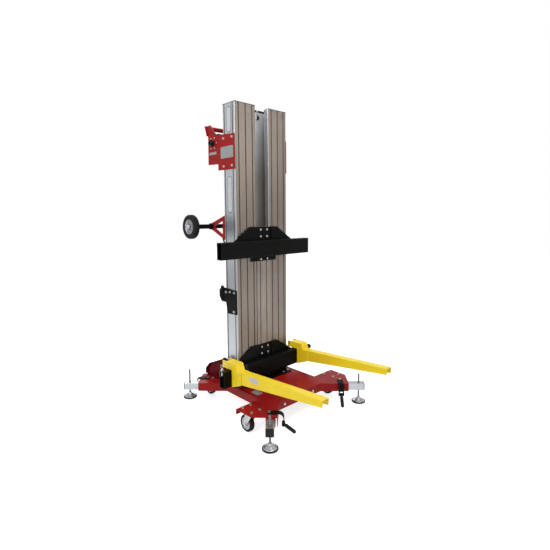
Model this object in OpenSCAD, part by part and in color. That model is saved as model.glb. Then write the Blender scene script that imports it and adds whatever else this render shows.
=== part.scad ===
// Material hoist: a wheeled base, a telescopic mast in three nested stages,
// a fork carriage with two beams, four stabilisers and a hand winch behind the mast.
// Millimetres. X is right, the forks point to -Y, Z is up and the castors stand on z = 0.

/* [Mast] */
// Pitch of the ribs across the mast front; the mast is eight ribs wide
rib_pitch = 54.8; // [54:0.2:56]
// Depth of a mast column, front to back
column_depth = 126; // [124:1:134]
// Height of the mast top above the floor
mast_top = 1940; // [1900:10:2000]
// Wall of the mast columns
column_wall = 4; // [3:0.5:4.5]
// Wall of the nested sections
section_wall = 4; // [3:0.5:4.5]
// Play between two nested sections, front and back
section_play = 1.5; // [1:0.25:2]
// Width of the mouth of a T-slot
slot_mouth = 8; // [7:0.5:9]
// Height of the carriage spine
spine_length = 1018; // [1010:2:1060]

/* [Carriage] */
// Length of a carriage beam
beam_length = 760; // [740:10:800]
// Height of a carriage beam
beam_height = 104; // [100:1:110]
// Depth of a carriage beam, front to back
beam_depth = 47; // [45:1:50]
// Wall of a carriage beam
beam_wall = 4; // [3:0.5:5]
// Height of the lower beam above the floor
lower_beam_z = 192; // [190:1:196]
// Distance between the two beams, centre to centre
beam_spacing = 789; // [780:1:800]
// Half width of the back plate of a beam
bracket_half = 110; // [105:1:116]

/* [Forks] */
// Distance of a fork's middle from the near end of the beam
fork_inset = 88; // [80:1:90]
// Width of a fork arm
fork_width = 50; // [46:1:54]
// Thickness of the fork side plates
fork_plate = 6; // [5:0.5:7]
// Wall of a fork arm
fork_wall = 4; // [3:0.5:5]
// Reach of a fork tip in front of the mast
fork_reach = 780; // [700:10:860]
// Diameter of the rod between the side plates
fork_rod_d = 12; // [10:1:14]

/* [Base] */
// Height of the deck's top face
deck_top = 146; // [144:1:150]
// Thickness of the deck sheet
deck_sheet = 4; // [3:0.5:4]
// Depth of the long flanges
deck_flange = 53; // [48:1:55]
// Depth of the short flanges beside the castors
short_flange = 30; // [20:1:32]
// Thickness of the mast cheeks
cheek_sheet = 6; // [5:0.5:8]
// Width of the folded edge of a cheek
cheek_fold = 15; // [12:1:18]

/* [Stabilisers] */
// Side of the square stabiliser tube
tube_side = 45; // [42:1:46]
// Wall of the stabiliser tube
tube_wall = 3; // [2.5:0.5:4]
// Play of the tube inside its sleeve, on each side
tube_play = 0.5; // [0.3:0.1:0.8]
// Wall of the sleeve
sleeve_wall = 4; // [3:0.5:4.5]
// Length of the stabiliser tube
tube_length = 360; // [340:5:380]
// Diameter of the jack spindle
spindle_d = 12; // [10:1:16]
// Length of the jack spindle over its foot
spindle_length = 189; // [180:1:200]
// Diameter of the foot
foot_d = 90; // [80:1:96]
// Height of three of the feet above the floor at rest
foot_rest = 7; // [4:1:12]
// Height of the left rear foot above the floor at rest
rear_left_foot_rest = 35; // [25:1:36]

/* [Castors] */
// Diameter of a castor wheel
castor_d = 100; // [98:1:104]
// Width of a castor tyre
castor_tyre_w = 32; // [28:1:34]
// Distance the wheel trails behind its swivel axis
castor_trail = 36; // [34:1:40]
// Diameter of the wheel axle
castor_axle_d = 8; // [8:1:12]

/* [Transport axle] */
// Diameter of a transport wheel
transport_d = 156; // [150:1:170]
// Width of a transport wheel
transport_w = 42; // [38:1:46]
// Height of the transport axle
axle_z = 1176; // [1170:1:1182]
// Distance of the transport axle behind the mast front
axle_y = 268; // [264:1:272]
// Diameter of the solid axle
axle_d = 20; // [18:1:22]

/* [Winch] */
// Thickness of the winch side plates
winch_sheet = 4; // [3:0.5:5]
// Diameter of the drum core
drum_core_d = 90; // [70:1:100]
// Diameter of the drum flanges
drum_flange_d = 130; // [120:1:140]
// Diameter of the drum shaft
drum_shaft_d = 25; // [20:1:28]
// Diameter of the push bar
push_bar_d = 28; // [25:1:30]
// Diameter of the rope sheaves
sheave_d = 52; // [48:1:54]

/* [Hidden] */
$fn = 48;

red = "#9b2020";
black = "#1c1c1c";
yellow = "#e6c832";
alloy = "#aeb2b6";
zinc = "#c2c4c6";
rubber = "#262626";

// Fits: radial play of a shaft in its bore, and the gap kept between moving faces
fit = 0.05;
gap = 0.4;
guide_gap = 0.3;
overlap = 0.5;

// Mast section, all measured from the front face of the columns at y = 0
half_gap = rib_pitch;
half_mast = 4 * rib_pitch;
column_fillet = 8;
slot_depth = 4;
slot_room_w = 14;
slot_room_d = 6;
slot_wall = 3;
channel_front = 32;
channel_depth = 56;
channel_rear = channel_front + channel_depth;
section_side_play = 4;
section_face_play = 1;
channel_half = 134;
side_slot_inset = 24;
rear_slot_y = column_depth - 18;
slot_block = slot_depth + slot_room_d + slot_wall;

// Nested sections: each is a lipped C whose web is at the rear
mid_half = channel_half - section_side_play;
mid_front = channel_front + section_face_play;
mid_rear = channel_rear - section_face_play;
inner_half = mid_half - section_wall - section_play;
inner_front = mid_front + section_wall + section_play;
inner_rear = mid_rear - section_wall - section_play;
neck_half = half_gap - 1;
lip_half = neck_half + 4;
spine_front = -1;
spine_flange_front = inner_front + section_wall + gap;
spine_leg_rear = inner_rear - section_wall - gap;
spine_half = inner_half - section_wall - section_play;
section_bottom = deck_top + 4;
guide_height = 14;
section_top = mast_top - 4 - guide_height;
spine_bottom = deck_top + 9;

// Carriage beams and their back plates
plate_t = 6;
plate_rear = spine_front;
plate_front = plate_rear - plate_t;
wing_front = plate_front - plate_t;
beam_rear = wing_front;
beam_front = beam_rear - beam_depth;
plate_below = 33;
plate_above = 88;
wing_reach = 250;
upper_beam_z = lower_beam_z + beam_spacing;
carriage_bolt_x = rib_pitch / 2;
carriage_bolt_edge = 13;
carriage_bolt_mid = 25;
carriage_bolt_high = 69;
carriage_bolt_heights = [
    -plate_below + carriage_bolt_edge, beam_height + carriage_bolt_mid, beam_height + carriage_bolt_high
];
carriage_bolt_d = 7;
beam_hole_d = 7;
beam_hole_spots = [[-77, 81], [-53, 81], [53, 81], [77, 81], [-77, 27], [77, 27], [0, 64], [-138, 64]];
lower_beam_top = lower_beam_z + beam_height;
fork_offset = beam_length / 2 - fork_inset;
beam_pin_x = beam_length / 2 - 11;
beam_pin_y = beam_rear - 11;
beam_pin_d = 10;
ring_wire = 3;
ring_d = 26;

// Deck outline, right half, from the front edge round to the rear edge
deck_half = 250;
deck_right = [
    [189, -340], [323, -469], [424, -364], [427, -233], [deck_half, -233], [deck_half, 92],
    [385, 227], [276, 338], [175, 338], [175, 230]
];
// Depth of the flange on each edge of the right half; 0 is an open edge
deck_folds = [
    deck_flange, 0, 0, short_flange, deck_flange, deck_flange, 0, short_flange, short_flange, deck_flange
];
deck_under = deck_top - deck_sheet;
flange_bottom = deck_top - deck_flange;

// Stabiliser lines run at 45 degrees through the four spindles
spindle_x = 401;
front_spindle_y = -491;
rear_spindle_y = 302;
sleeve_inner = tube_side + 2 * tube_play;
sleeve_outer = sleeve_inner + 2 * sleeve_wall;
sleeve_z = deck_under - sleeve_outer;
tube_z = sleeve_z + sleeve_wall + tube_play;
tube_nose = 35;
tube_plug = 22;
front_ear_end = -71;
rear_ear_end = -66;
sleeve_length = 240;
foot_rim_h = 8;
foot_h = 34;

// Stabiliser locks: a strap bolted on the deck reaches over its edge to a swinging grip
strap_w = 8;
strap_t = 5;
strap_spread = 28;
strap_bend = 32;
strap_hub_z = 84;
strap_hub_d = 20;
lock_pin_d = 8;
lock_edge_gap = 7;
lock_hub_y = -lock_edge_gap - strap_bend + 2 * strap_t;
lock_tail = 62;
grip_length = 88;
grip_d = 19;
front_grip_angle = -38;
rear_grip_angle = 0;
front_lock_x = -123;
front_edge_y = -41.6;
rear_lock_y = 42;

// Castors
castor_x_front = 362;
castor_y_front = -292;
castor_x_rear = 228;
castor_y_rear = 276;
castor_plate_l = 105;
castor_plate_w = 85;
castor_plate_t = 4;
castor_bolt_l = 80;
castor_bolt_w = 60;
castor_cup_d = 56;
castor_cup_h = 8;
castor_pin_d = 12;
castor_crown_t = 4;
castor_leg_t = 3;
castor_hub_w = castor_tyre_w + 4;
castor_leg_x = castor_hub_w / 2 + 1;
castor_top = deck_under - castor_plate_t - castor_cup_h - gap;

// Mast cheeks and the foot bar
cheek_x = 244;
cheek_outline = [[40, 0], [316, 0], [314, 50], [271, 96], [116, 163], [60, 165], [40, 144]];
cheek_bolt_y = 104;
cheek_bolt_z = deck_top + 151;
cheek_bolt_d = 12;
// The rear fold of a cheek stops this far above the deck, over the castor bolts
cheek_fold_foot = 12;
foot_bar_half = 205;
foot_bar_depth = 60;
foot_bar_t = 6;
foot_bar_h = 32;
foot_bolt_spots = [-190, -150, 150, 190];
foot_bolt_y = -36;

// Winch console behind the mast
winch_y = 229;
winch_z = mast_top - 226;
// Outline of a console plate as [y, drop below the mast top]
winch_drops = [
    [3, 192], [2, 407], [175, 404], [175, 364], [285, 359], [282, 184],
    [308, 106], [254, 108], [188, 180]
];
winch_outline = [for (p = winch_drops) [p.x, mast_top - p.y]];
winch_fold = 10;
winch_bolt_drops = [[26, 211], [112, 211], [26, 384], [112, 384]];
winch_bolt_spots = [for (p = winch_bolt_drops) [p.x, mast_top - p.y]];
push_bar_y = 281;
push_bar_z = mast_top - 124;
gearbox_half = 54;
gearbox_w = 70;
socket_bolt_r = 36.5;
socket_hub_d = 34;
socket_shaft_d = 20;
drum_half = 70;
drum_flange_t = 5;

// Ties across the back of the mast, and the rope sheaves
tie_half = 150;
tie_t = 5;
tie_h = 80;
tie_low = 54;
tie_second = 700;
tie_third = 1330;
tie_drop = 90;
tie_heights = [deck_top + tie_low, tie_second, tie_third, mast_top - tie_drop];
sheave_w = 14;
sheave_pin_d = 12;
mast_sheave_y = column_depth + 16;
mast_sheave_z = mast_top - 48;
small_sheave_z = mast_top - 52;
middle_sheave_x = -30;
middle_sheave_d = 32;
middle_sheave_y = 106;
inner_sheave_x = 30;
inner_sheave_d = 26;
inner_sheave_y = 77;
small_pin_d = 8;
lug_t = 3;
small_sheave_w = 10;
sheave_room = small_sheave_w + 2;
sheave_window = small_sheave_w + 2 * lug_t + 8;

// Transport axle
bracket_t = 5;
bracket_rise = 71;
bracket_drop = 86;
bracket_top = axle_z + bracket_rise;
bracket_foot = axle_z - bracket_drop;
axle_tube_d = 30;
wheel_outer_face = 401;
wheel_inner_face = wheel_outer_face - transport_w;

// Side latch
latch_t = 6.8;
latch_outline = [
    [158, 781], [106, 775], [6, 768], [5, 616], [100, 611], [117, 683], [164, 686], [188, 713], [188, 760]
];
latch_bolt_spots = [[110, 752], [68, 756], [24, 756], [29, 632]];
latch_pin_y = 158;
latch_barrel_d = 22;
latch_pin_d = 8;
latch_barrel_top = 785;
latch_barrel_bottom = 690;
latch_ring_d = 26;

// Fork side plate and arm, drawn from the lower beam
hook_tip_y = 33;
hook_tip_rise = 42;
neck_y = -115;
arm_root_y = -152;
arm_root_z = lower_beam_z + 35;
arm_top_z = lower_beam_top + 4;
arm_tip_rise = 48;
arm_tip_depth = 37;
arm_tip_top = lower_beam_top + arm_tip_rise;
arm_tip_bottom = arm_tip_top - arm_tip_depth;
hook_crown = lower_beam_top + 46;
hook_back = lower_beam_top + 44;
hook_cover_t = 3;
knob_y = -102;
knob_z = lower_beam_top + 12;
fork_rod_y = 16;
fork_rod_z = lower_beam_top + 24;
knob_d = 34;
knob_l = 24;
knob_screw_d = 10;

// Square with rounded corners, from one corner to the other
module soft_square(p, q, r) {
    translate([p.x + r, p.y]) square([q.x - p.x - 2 * r, q.y - p.y]);
    translate([p.x, p.y + r]) square([q.x - p.x, q.y - p.y - 2 * r]);
    for (x = [p.x + r, q.x - r], y = [p.y + r, q.y - r])
        translate([x, y]) circle(r);
}

// Ring cut out of a flat sheet
module ring(outer, inner) {
    difference() {
        circle(d = outer);
        circle(d = inner);
    }
}

// Extrudes a YZ outline along X from x0
module along_x(x0, width) {
    translate([x0, 0, 0]) rotate([90, 0, 90]) linear_extrude(width) children();
}

// A rod along X between two x values
module rod_x(x0, x1, y, z, d) {
    translate([x0, y, z]) rotate([0, 90, 0]) cylinder(d = d, h = x1 - x0);
}

// Outline moved inwards by its own distance on each edge; edge i runs from point i to the next
function inward(p, q) = [p.y - q.y, q.x - p.x] / norm(q - p);
function meet(b, n1, n2, d1, d2) =
    let (det = n1.x * n2.y - n1.y * n2.x)
    [b.x + (d1 * n2.y - d2 * n1.y) / det, b.y + (d2 * n1.x - d1 * n2.x) / det];
function inset(points, d) =
    let (n = len(points))
    [for (i = [0:n - 1])
        let (before = (i + n - 1) % n, a = points[before], b = points[i], c = points[(i + 1) % n])
        meet(b, inward(a, b), inward(b, c), d[before], d[i])];

// Flat sheet of an outline with some edges folded up by `fold`
module folded_sheet(points, folded, sheet, fold) {
    d = [for (i = [0:len(points) - 1]) len([for (f = folded) if (f == i) 1]) > 0 ? sheet : -sheet];
    difference() {
        linear_extrude(sheet + fold) polygon(points);
        translate([0, 0, sheet]) linear_extrude(fold + 1) polygon(inset(points, d));
    }
}

// Hexagon bolt head on a washer, standing up from z = 0
module bolt_head(size) {
    cylinder(d = size * 2, h = size * 0.2);
    translate([0, 0, size * 0.2]) cylinder(d = size * 1.8, h = size * 0.65, $fn = 6);
}

// Moves to a stabiliser spindle, with X pointing outward along the tube
module at_corner(side, front) {
    mirror([side < 0 ? 1 : 0, 0, 0])
        translate([spindle_x, front ? front_spindle_y : rear_spindle_y, 0])
            rotate(front ? -45 : 45)
                children();
}

// Moves to a castor's swivel axis
module at_castor(side, front) {
    translate([side * (front ? castor_x_front : castor_x_rear), front ? castor_y_front : castor_y_rear, 0])
        children();
}

// Base

// The pressed deck with its folded flanges and the four welded stabiliser sleeves
module base_deck() color(red) {
    last = len(deck_right) - 1;
    outline = concat(deck_right, [for (i = [last:-1:0]) [-deck_right[i].x, deck_right[i].y]]);
    folds = concat(deck_folds, [for (i = [last - 1:-1:0]) deck_folds[i]], [deck_flange]);
    open_edge = -deck_sheet;
    difference() {
        union() {
            difference() {
                translate([0, 0, flange_bottom]) linear_extrude(deck_flange) polygon(outline);
                // Hollow under the sheet, open where an edge has no flange
                translate([0, 0, flange_bottom - 1])
                    linear_extrude(deck_under - flange_bottom + 1)
                        polygon(inset(outline, [for (f = folds) f > 0 ? deck_sheet : open_edge]));
                // Shorter flanges beside the castors
                translate([0, 0, flange_bottom - 1])
                    linear_extrude(deck_flange - short_flange + 1)
                        polygon(inset(outline, [for (f = folds) f > short_flange ? deck_sheet : open_edge]));
            }
            for (side = [-1, 1], front = [true, false])
                at_corner(side, front)
                    translate([(front ? front_ear_end : rear_ear_end) - sleeve_length,
                               -sleeve_outer / 2, sleeve_z])
                        cube([sleeve_length, sleeve_outer, sleeve_outer + overlap]);
        }
        for (side = [-1, 1], front = [true, false])
            at_corner(side, front)
                translate([-sleeve_length * 2, -sleeve_inner / 2, sleeve_z + sleeve_wall])
                    cube([sleeve_length * 2, sleeve_inner, sleeve_inner]);
    }
}

// Side cheek that braces a mast column, with a folded edge
module cheek() {
    turned = [for (p = cheek_outline) [p.x, p.y + deck_top]];
    difference() {
        translate([cheek_x, 0, 0])
            rotate([90, 0, 90])
                folded_sheet(turned, [1, 2, 3], cheek_sheet, cheek_fold);
        rod_x(cheek_x - 1, cheek_x + cheek_sheet + 1, cheek_bolt_y, cheek_bolt_z, cheek_bolt_d + 2 * fit);
        translate([cheek_x + cheek_sheet, cheek_outline[1].x - 2 * cheek_fold, deck_top - 1])
            cube([2 * cheek_fold, 3 * cheek_fold, cheek_fold_foot + 1]);
    }
}

module cheek_right() color(red) cheek();
module cheek_left() color(red) mirror([1, 0, 0]) cheek();

// Angle bar that locates the mast foot on the deck
module mast_foot_bar() color(black) {
    difference() {
        translate([-foot_bar_half, -foot_bar_depth, deck_top])
            cube([2 * foot_bar_half, foot_bar_depth, foot_bar_t]);
        for (x = foot_bolt_spots)
            translate([x, foot_bolt_y, deck_top]) cylinder(d = 10 + 2 * fit, h = 2 * foot_bar_t);
    }
    for (side = [0, 1])
        mirror([side, 0, 0])
            translate([bracket_half + 6, -foot_bar_t, deck_top])
                cube([foot_bar_half - bracket_half - 6, foot_bar_t, foot_bar_h]);
}

// Fixed plate and bearing cup of the four castors
module castor_plates() color(zinc)
    for (side = [-1, 1], front = [true, false])
        at_castor(side, front) {
            difference() {
                union() {
                    translate([0, 0, deck_under - castor_plate_t])
                        linear_extrude(castor_plate_t)
                            soft_square([-castor_plate_w / 2, -castor_plate_l / 2],
                                        [castor_plate_w / 2, castor_plate_l / 2], 6);
                    translate([0, 0, deck_under - castor_plate_t - castor_cup_h])
                        cylinder(d1 = castor_cup_d - 8, d2 = castor_cup_d, h = castor_cup_h, $fn = 64);
                }
                translate([0, 0, castor_top - 1])
                    cylinder(d = castor_pin_d + 2 * fit, h = 20);
            }
        }

// Two-legged straps that carry the stabiliser grips
module lock_strap() {
    bend_y = -lock_edge_gap - strap_bend + strap_t;
    for (x = [-1, 1])
        translate([x * strap_spread / 2 - strap_w / 2, 0, 0])
            along_x(0, strap_w)
                difference() {
                    union() {
                        translate([bend_y + strap_bend, deck_top])
                            square([lock_tail, strap_t]);
                        intersection() {
                            translate([bend_y + strap_bend, deck_top + strap_t - strap_bend])
                                ring(2 * strap_bend, 2 * (strap_bend - strap_t));
                            translate([bend_y, deck_top + strap_t - strap_bend])
                                square([strap_bend, strap_bend]);
                        }
                        translate([bend_y, strap_hub_z])
                            square([strap_t, deck_top + strap_t - strap_bend - strap_hub_z]);
                        translate([bend_y + strap_t, strap_hub_z]) circle(d = strap_hub_d);
                    }
                    translate([bend_y + strap_t, strap_hub_z]) circle(d = lock_pin_d - 1);
                }
    translate([-strap_spread / 2, bend_y + strap_bend + lock_tail - 14, deck_top])
        cube([strap_spread, 14, strap_t]);
    rod_x(-strap_spread / 2 - strap_w / 2, strap_spread / 2 + strap_w / 2,
          bend_y + strap_t, strap_hub_z, lock_pin_d);
}

// Moves to a lock, with -Y pointing out over the deck edge
module at_lock(side, front) {
    at_corner(side, front)
        if (front)
            translate([front_lock_x, front_edge_y, 0]) children();
        else
            translate([rear_ear_end, rear_lock_y, 0]) rotate(90) children();
}

module lock_brackets() color(black)
    for (side = [-1, 1], front = [true, false])
        at_lock(side, front) lock_strap();

// Swinging grip, drawn straight out along -Y before it is turned down
module lock_grip(angle) {
    head_w = strap_spread - strap_w - 2 * gap;
    translate([0, lock_hub_y, strap_hub_z])
        rotate([-angle, 0, 0])
            difference() {
                union() {
                    rod_x(-head_w / 2, head_w / 2, 0, 0, strap_hub_d);
                    rotate([90, 0, 0]) cylinder(d = head_w - 2, h = 24);
                    translate([0, -16, 0])
                        rotate([90, 0, 0]) cylinder(d1 = head_w - 2, d2 = grip_d, h = 10);
                    translate([0, -26, 0])
                        rotate([90, 0, 0]) cylinder(d = grip_d, h = grip_length - 26 - grip_d / 2);
                    translate([0, grip_d / 2 - grip_length, 0]) sphere(d = grip_d);
                }
                rod_x(-head_w, head_w, 0, 0, lock_pin_d + 2 * fit);
            }
}

module lock_lever_front_left() color(rubber) at_lock(-1, true) lock_grip(-front_grip_angle);
module lock_lever_front_right() color(rubber) at_lock(1, true) lock_grip(-front_grip_angle);
module lock_lever_rear_left() color(rubber) at_lock(-1, false) lock_grip(-rear_grip_angle);
module lock_lever_rear_right() color(rubber) at_lock(1, false) lock_grip(-rear_grip_angle);

// Stabiliser tube with its end plug; the spindle passes down through it
module stabiliser() {
    difference() {
        translate([tube_nose - tube_length, 0, tube_z])
            rotate([90, 0, 90])
                linear_extrude(tube_length)
                    soft_square([-tube_side / 2, 0], [tube_side / 2, tube_side], 3);
        translate([tube_nose - tube_length - 1, -tube_side / 2 + tube_wall, tube_z + tube_wall])
            cube([tube_length - tube_nose - tube_plug + 1, tube_side - 2 * tube_wall,
                  tube_side - 2 * tube_wall]);
        cylinder(d = spindle_d + 2 * fit, h = 2 * deck_top);
    }
}

module stabiliser_front_left() color(alloy) at_corner(-1, true) stabiliser();
module stabiliser_front_right() color(alloy) at_corner(1, true) stabiliser();
module stabiliser_rear_left() color(alloy) at_corner(-1, false) stabiliser();
module stabiliser_rear_right() color(alloy) at_corner(1, false) stabiliser();

// Jack: a spindle on a dished foot with a rubber rim
module jack(rest) {
    translate([0, 0, rest]) {
        rotate_extrude($fn = 64)
            polygon([
                [0, 2], [foot_d / 2 - 8, 2], [foot_d / 2 - 6, 0], [foot_d / 2, 0], [foot_d / 2, foot_rim_h],
                [foot_d / 2 - 5, foot_rim_h + 2], [18, foot_h - 12], [11, foot_h - 8], [11, foot_h],
                [0, foot_h]
            ]);
        translate([0, 0, foot_h - 1]) cylinder(d = spindle_d, h = spindle_length - foot_h);
        translate([0, 0, spindle_length - 1]) cylinder(d1 = spindle_d, d2 = spindle_d - 3, h = 2);
    }
}

module jack_front_left() color(zinc) at_corner(-1, true) jack(foot_rest);
module jack_front_right() color(zinc) at_corner(1, true) jack(foot_rest);
module jack_rear_left() color(zinc) at_corner(-1, false) jack(rear_left_foot_rest);
module jack_rear_right() color(zinc) at_corner(1, false) jack(foot_rest);

// Swivel fork of a castor, with its king pin and wheel axle
module castor_fork() {
    leg_w = 44;
    axle_z0 = castor_d / 2;
    translate([0, 0, castor_top - castor_crown_t]) cylinder(d = 52, h = castor_crown_t, $fn = 64);
    translate([0, 0, castor_top - 1]) cylinder(d = castor_pin_d, h = castor_cup_h + castor_plate_t);
    translate([-castor_leg_x - castor_leg_t, -20, castor_top - castor_crown_t])
        cube([2 * (castor_leg_x + castor_leg_t), leg_w, castor_crown_t]);
    for (x = [-castor_leg_x - castor_leg_t, castor_leg_x])
        along_x(x, castor_leg_t)
            union() {
                translate([castor_trail, axle_z0]) circle(d = 26);
                polygon([
                    [-20, castor_top], [24, castor_top], [castor_trail + 13, axle_z0],
                    [castor_trail - 12, axle_z0 - 5], [-20, castor_top - 22]
                ]);
            }
    rod_x(-castor_leg_x - castor_leg_t - 5, castor_leg_x + castor_leg_t + 5,
          castor_trail, axle_z0, castor_axle_d);
    for (x = [-castor_leg_x - castor_leg_t - 5, castor_leg_x + castor_leg_t])
        translate([x, castor_trail, axle_z0])
            rotate([0, 90, 0]) cylinder(d = castor_axle_d + 6, h = 5, $fn = 6);
}

module castor_fork_front_left() color(zinc) at_castor(-1, true) castor_fork();
module castor_fork_front_right() color(zinc) at_castor(1, true) castor_fork();
module castor_fork_rear_left() color(zinc) at_castor(-1, false) castor_fork();
module castor_fork_rear_right() color(zinc) at_castor(1, false) castor_fork();

// Castor wheel: a round-shouldered tyre on a dished centre
module castor_wheel() {
    r = castor_d / 2;
    w = castor_tyre_w / 2;
    bore = castor_axle_d / 2 + fit;
    translate([0, castor_trail, r])
        rotate([0, 90, 0])
            rotate_extrude($fn = 72)
                polygon([
                    [bore, -castor_hub_w / 2], [14, -castor_hub_w / 2], [16, -w + 5], [r - 16, -w + 5],
                    [r - 13, -w], [r - 6, -w], [r - 1.5, -w + 5], [r, -w + 10],
                    [r, w - 10], [r - 1.5, w - 5], [r - 6, w], [r - 13, w],
                    [r - 16, w - 5], [16, w - 5], [14, castor_hub_w / 2], [bore, castor_hub_w / 2]
                ]);
}

module castor_wheel_front_left() color(rubber) at_castor(-1, true) castor_wheel();
module castor_wheel_front_right() color(rubber) at_castor(1, true) castor_wheel();
module castor_wheel_rear_left() color(rubber) at_castor(-1, false) castor_wheel();
module castor_wheel_rear_right() color(rubber) at_castor(1, false) castor_wheel();

// Mast

// T-slot cut into a face: its mouth is at y = 0 and it opens toward -Y
module tee_slot() {
    translate([-slot_mouth / 2, -1]) square([slot_mouth, slot_depth + 1 + overlap]);
    translate([-slot_room_w / 2, slot_depth]) square([slot_room_w, slot_room_d]);
}

// Cross-section of the right mast column
module column_profile() {
    slots = [1.5, 2.5, 3.5] * rib_pitch;
    lines = [2, 3] * rib_pitch;
    half_slot = slot_room_w / 2 + slot_wall;
    side_room_x = half_mast - slot_block;
    difference() {
        soft_square([half_gap, 0], [half_mast, column_depth], column_fillet);
        for (x = slots) translate([x, 0]) tee_slot();
        for (x = lines) translate([x, 0]) circle(r = 1.2, $fn = 16);
        for (y = [side_slot_inset, rear_slot_y])
            translate([half_mast, y]) rotate(90) tee_slot();
        // Channel that the nested sections run in
        translate([half_gap - column_fillet, channel_front])
            square([channel_half - half_gap + column_fillet, channel_depth]);
        // Closed chambers in front of the channel
        for (i = [0, 1])
            translate([slots[i] + half_slot, column_wall])
                square([rib_pitch - 2 * half_slot, channel_front - 2 * column_wall]);
        // Closed chamber beside the channel
        translate([channel_half + column_wall, channel_front + column_wall + 4])
            square([half_mast - channel_half - 2 * column_wall, channel_depth - 2 * column_wall - 8]);
        // Closed chambers behind the channel
        for (i = [0:2])
            translate([half_gap + column_wall + 3 + i * 46, channel_rear + column_wall])
                square([42, column_depth - channel_rear - 2 * column_wall]);
    }
}

module mast_column() {
    translate([0, 0, deck_top]) linear_extrude(mast_top - deck_top) column_profile();
}

module mast_column_right() color(alloy) mast_column();
module mast_column_left() color(alloy) mirror([1, 0, 0]) mast_column();

// Flat ties across the back of the two columns; the top one carries the mast sheave
module mast_ties() color(alloy) {
    window = sheave_w + 4;
    for (i = [0:len(tie_heights) - 1])
        translate([0, column_depth, tie_heights[i]])
            difference() {
                translate([-tie_half, 0, 0]) cube([2 * tie_half, tie_t, tie_h]);
                if (i == len(tie_heights) - 1)
                    translate([-window / 2, -1, 8]) cube([window, tie_t + 2, tie_h]);
            }
    for (side = [-1, 1])
        translate([side * (window / 2 + lug_t / 2 + 1) - lug_t / 2, 0, 0])
            along_x(0, lug_t) {
                translate([mast_sheave_y, mast_sheave_z]) circle(d = 30);
                translate([column_depth + tie_t - 1, mast_sheave_z - 15]) square([12, 30]);
            }
    rod_x(-window / 2 - lug_t - 3, window / 2 + lug_t + 3, mast_sheave_y, mast_sheave_z, sheave_pin_d);
}

// Grooved rope sheave on an X axis
module sheave(d, w, bore) {
    r = d / 2;
    rotate([0, 90, 0])
        rotate_extrude($fn = 64)
            polygon([
                [bore / 2 + fit, -w / 2], [r, -w / 2], [r, -w / 2 + 1.5], [r - 5, -2],
                [r - 5, 2], [r, w / 2 - 1.5], [r, w / 2], [bore / 2 + fit, w / 2]
            ]);
}

module mast_sheave() color(rubber)
    translate([0, mast_sheave_y, mast_sheave_z]) sheave(sheave_d, sheave_w, sheave_pin_d);

// Lipped C profile of a nested section, with an extra skin outside it for a guide
module section_profile(half, front, rear, window_x, window_w, skin = 0) {
    difference() {
        translate([-half - skin, front - skin]) square([2 * (half + skin), rear - front + 2 * skin]);
        translate([-half + section_wall, front + section_wall])
            square([2 * (half - section_wall), rear - front - 2 * section_wall]);
        translate([-lip_half, front - skin - 1]) square([2 * lip_half, section_wall + skin + 2]);
        if (window_w > 0)
            translate([window_x - window_w / 2, rear - section_wall - 1])
                square([window_w, section_wall + skin + 2]);
    }
}

// Two lugs and a pin for a small sheave on an X axis
module sheave_fork(x, y, w, lug_d, foot_y) {
    lug_x = w / 2 + 1;
    for (side = [-1, 1])
        translate([x + side * (lug_x + lug_t / 2) - lug_t / 2, 0, 0])
            along_x(0, lug_t) {
                translate([y, small_sheave_z]) circle(d = lug_d);
                translate([min(y, foot_y), small_sheave_z - lug_d / 2]) square([abs(foot_y - y), lug_d]);
            }
    rod_x(x - lug_x - lug_t, x + lug_x + lug_t, y, small_sheave_z, small_pin_d);
}

// Middle section: its web has a slot that clears the inner section's sheave
module middle_section() color(alloy) {
    translate([0, 0, section_bottom + guide_height])
        linear_extrude(small_sheave_z - 20 - section_bottom - guide_height)
            section_profile(mid_half, mid_front, mid_rear, 0, 0);
    translate([0, 0, small_sheave_z - 20])
        linear_extrude(section_top - small_sheave_z + 20)
            section_profile(mid_half, mid_front, mid_rear, inner_sheave_x, sheave_window);
    sheave_fork(middle_sheave_x, middle_sheave_y, small_sheave_w, 16, mid_rear - 1);
}

module middle_guides() color(black)
    for (z = [section_bottom, section_top])
        translate([0, 0, z])
            linear_extrude(guide_height)
                section_profile(mid_half, mid_front, mid_rear, inner_sheave_x,
                                z == section_top ? sheave_window : 0, section_face_play - guide_gap);

module middle_sheave() color(rubber)
    translate([middle_sheave_x, middle_sheave_y, small_sheave_z])
        sheave(middle_sheave_d, small_sheave_w, small_pin_d);

// Inner section: its own sheave stands in a window of the web
module inner_section() color(alloy) {
    translate([0, 0, section_bottom + guide_height])
        linear_extrude(small_sheave_z - 18 - section_bottom - guide_height)
            section_profile(inner_half, inner_front, inner_rear, 0, 0);
    translate([0, 0, small_sheave_z - 18])
        linear_extrude(section_top - small_sheave_z + 18)
            section_profile(inner_half, inner_front, inner_rear, inner_sheave_x, sheave_room);
    sheave_fork(inner_sheave_x, inner_sheave_y, small_sheave_w, 12, inner_rear - 1);
}

module inner_guides() color(black)
    for (z = [section_bottom, section_top])
        translate([0, 0, z])
            linear_extrude(guide_height)
                section_profile(inner_half, inner_front, inner_rear, inner_sheave_x,
                                z == section_top ? sheave_room : 0, section_play - guide_gap);

module inner_sheave() color(rubber)
    translate([inner_sheave_x, inner_sheave_y, small_sheave_z])
        sheave(inner_sheave_d, small_sheave_w, small_pin_d);

// Carriage

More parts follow.
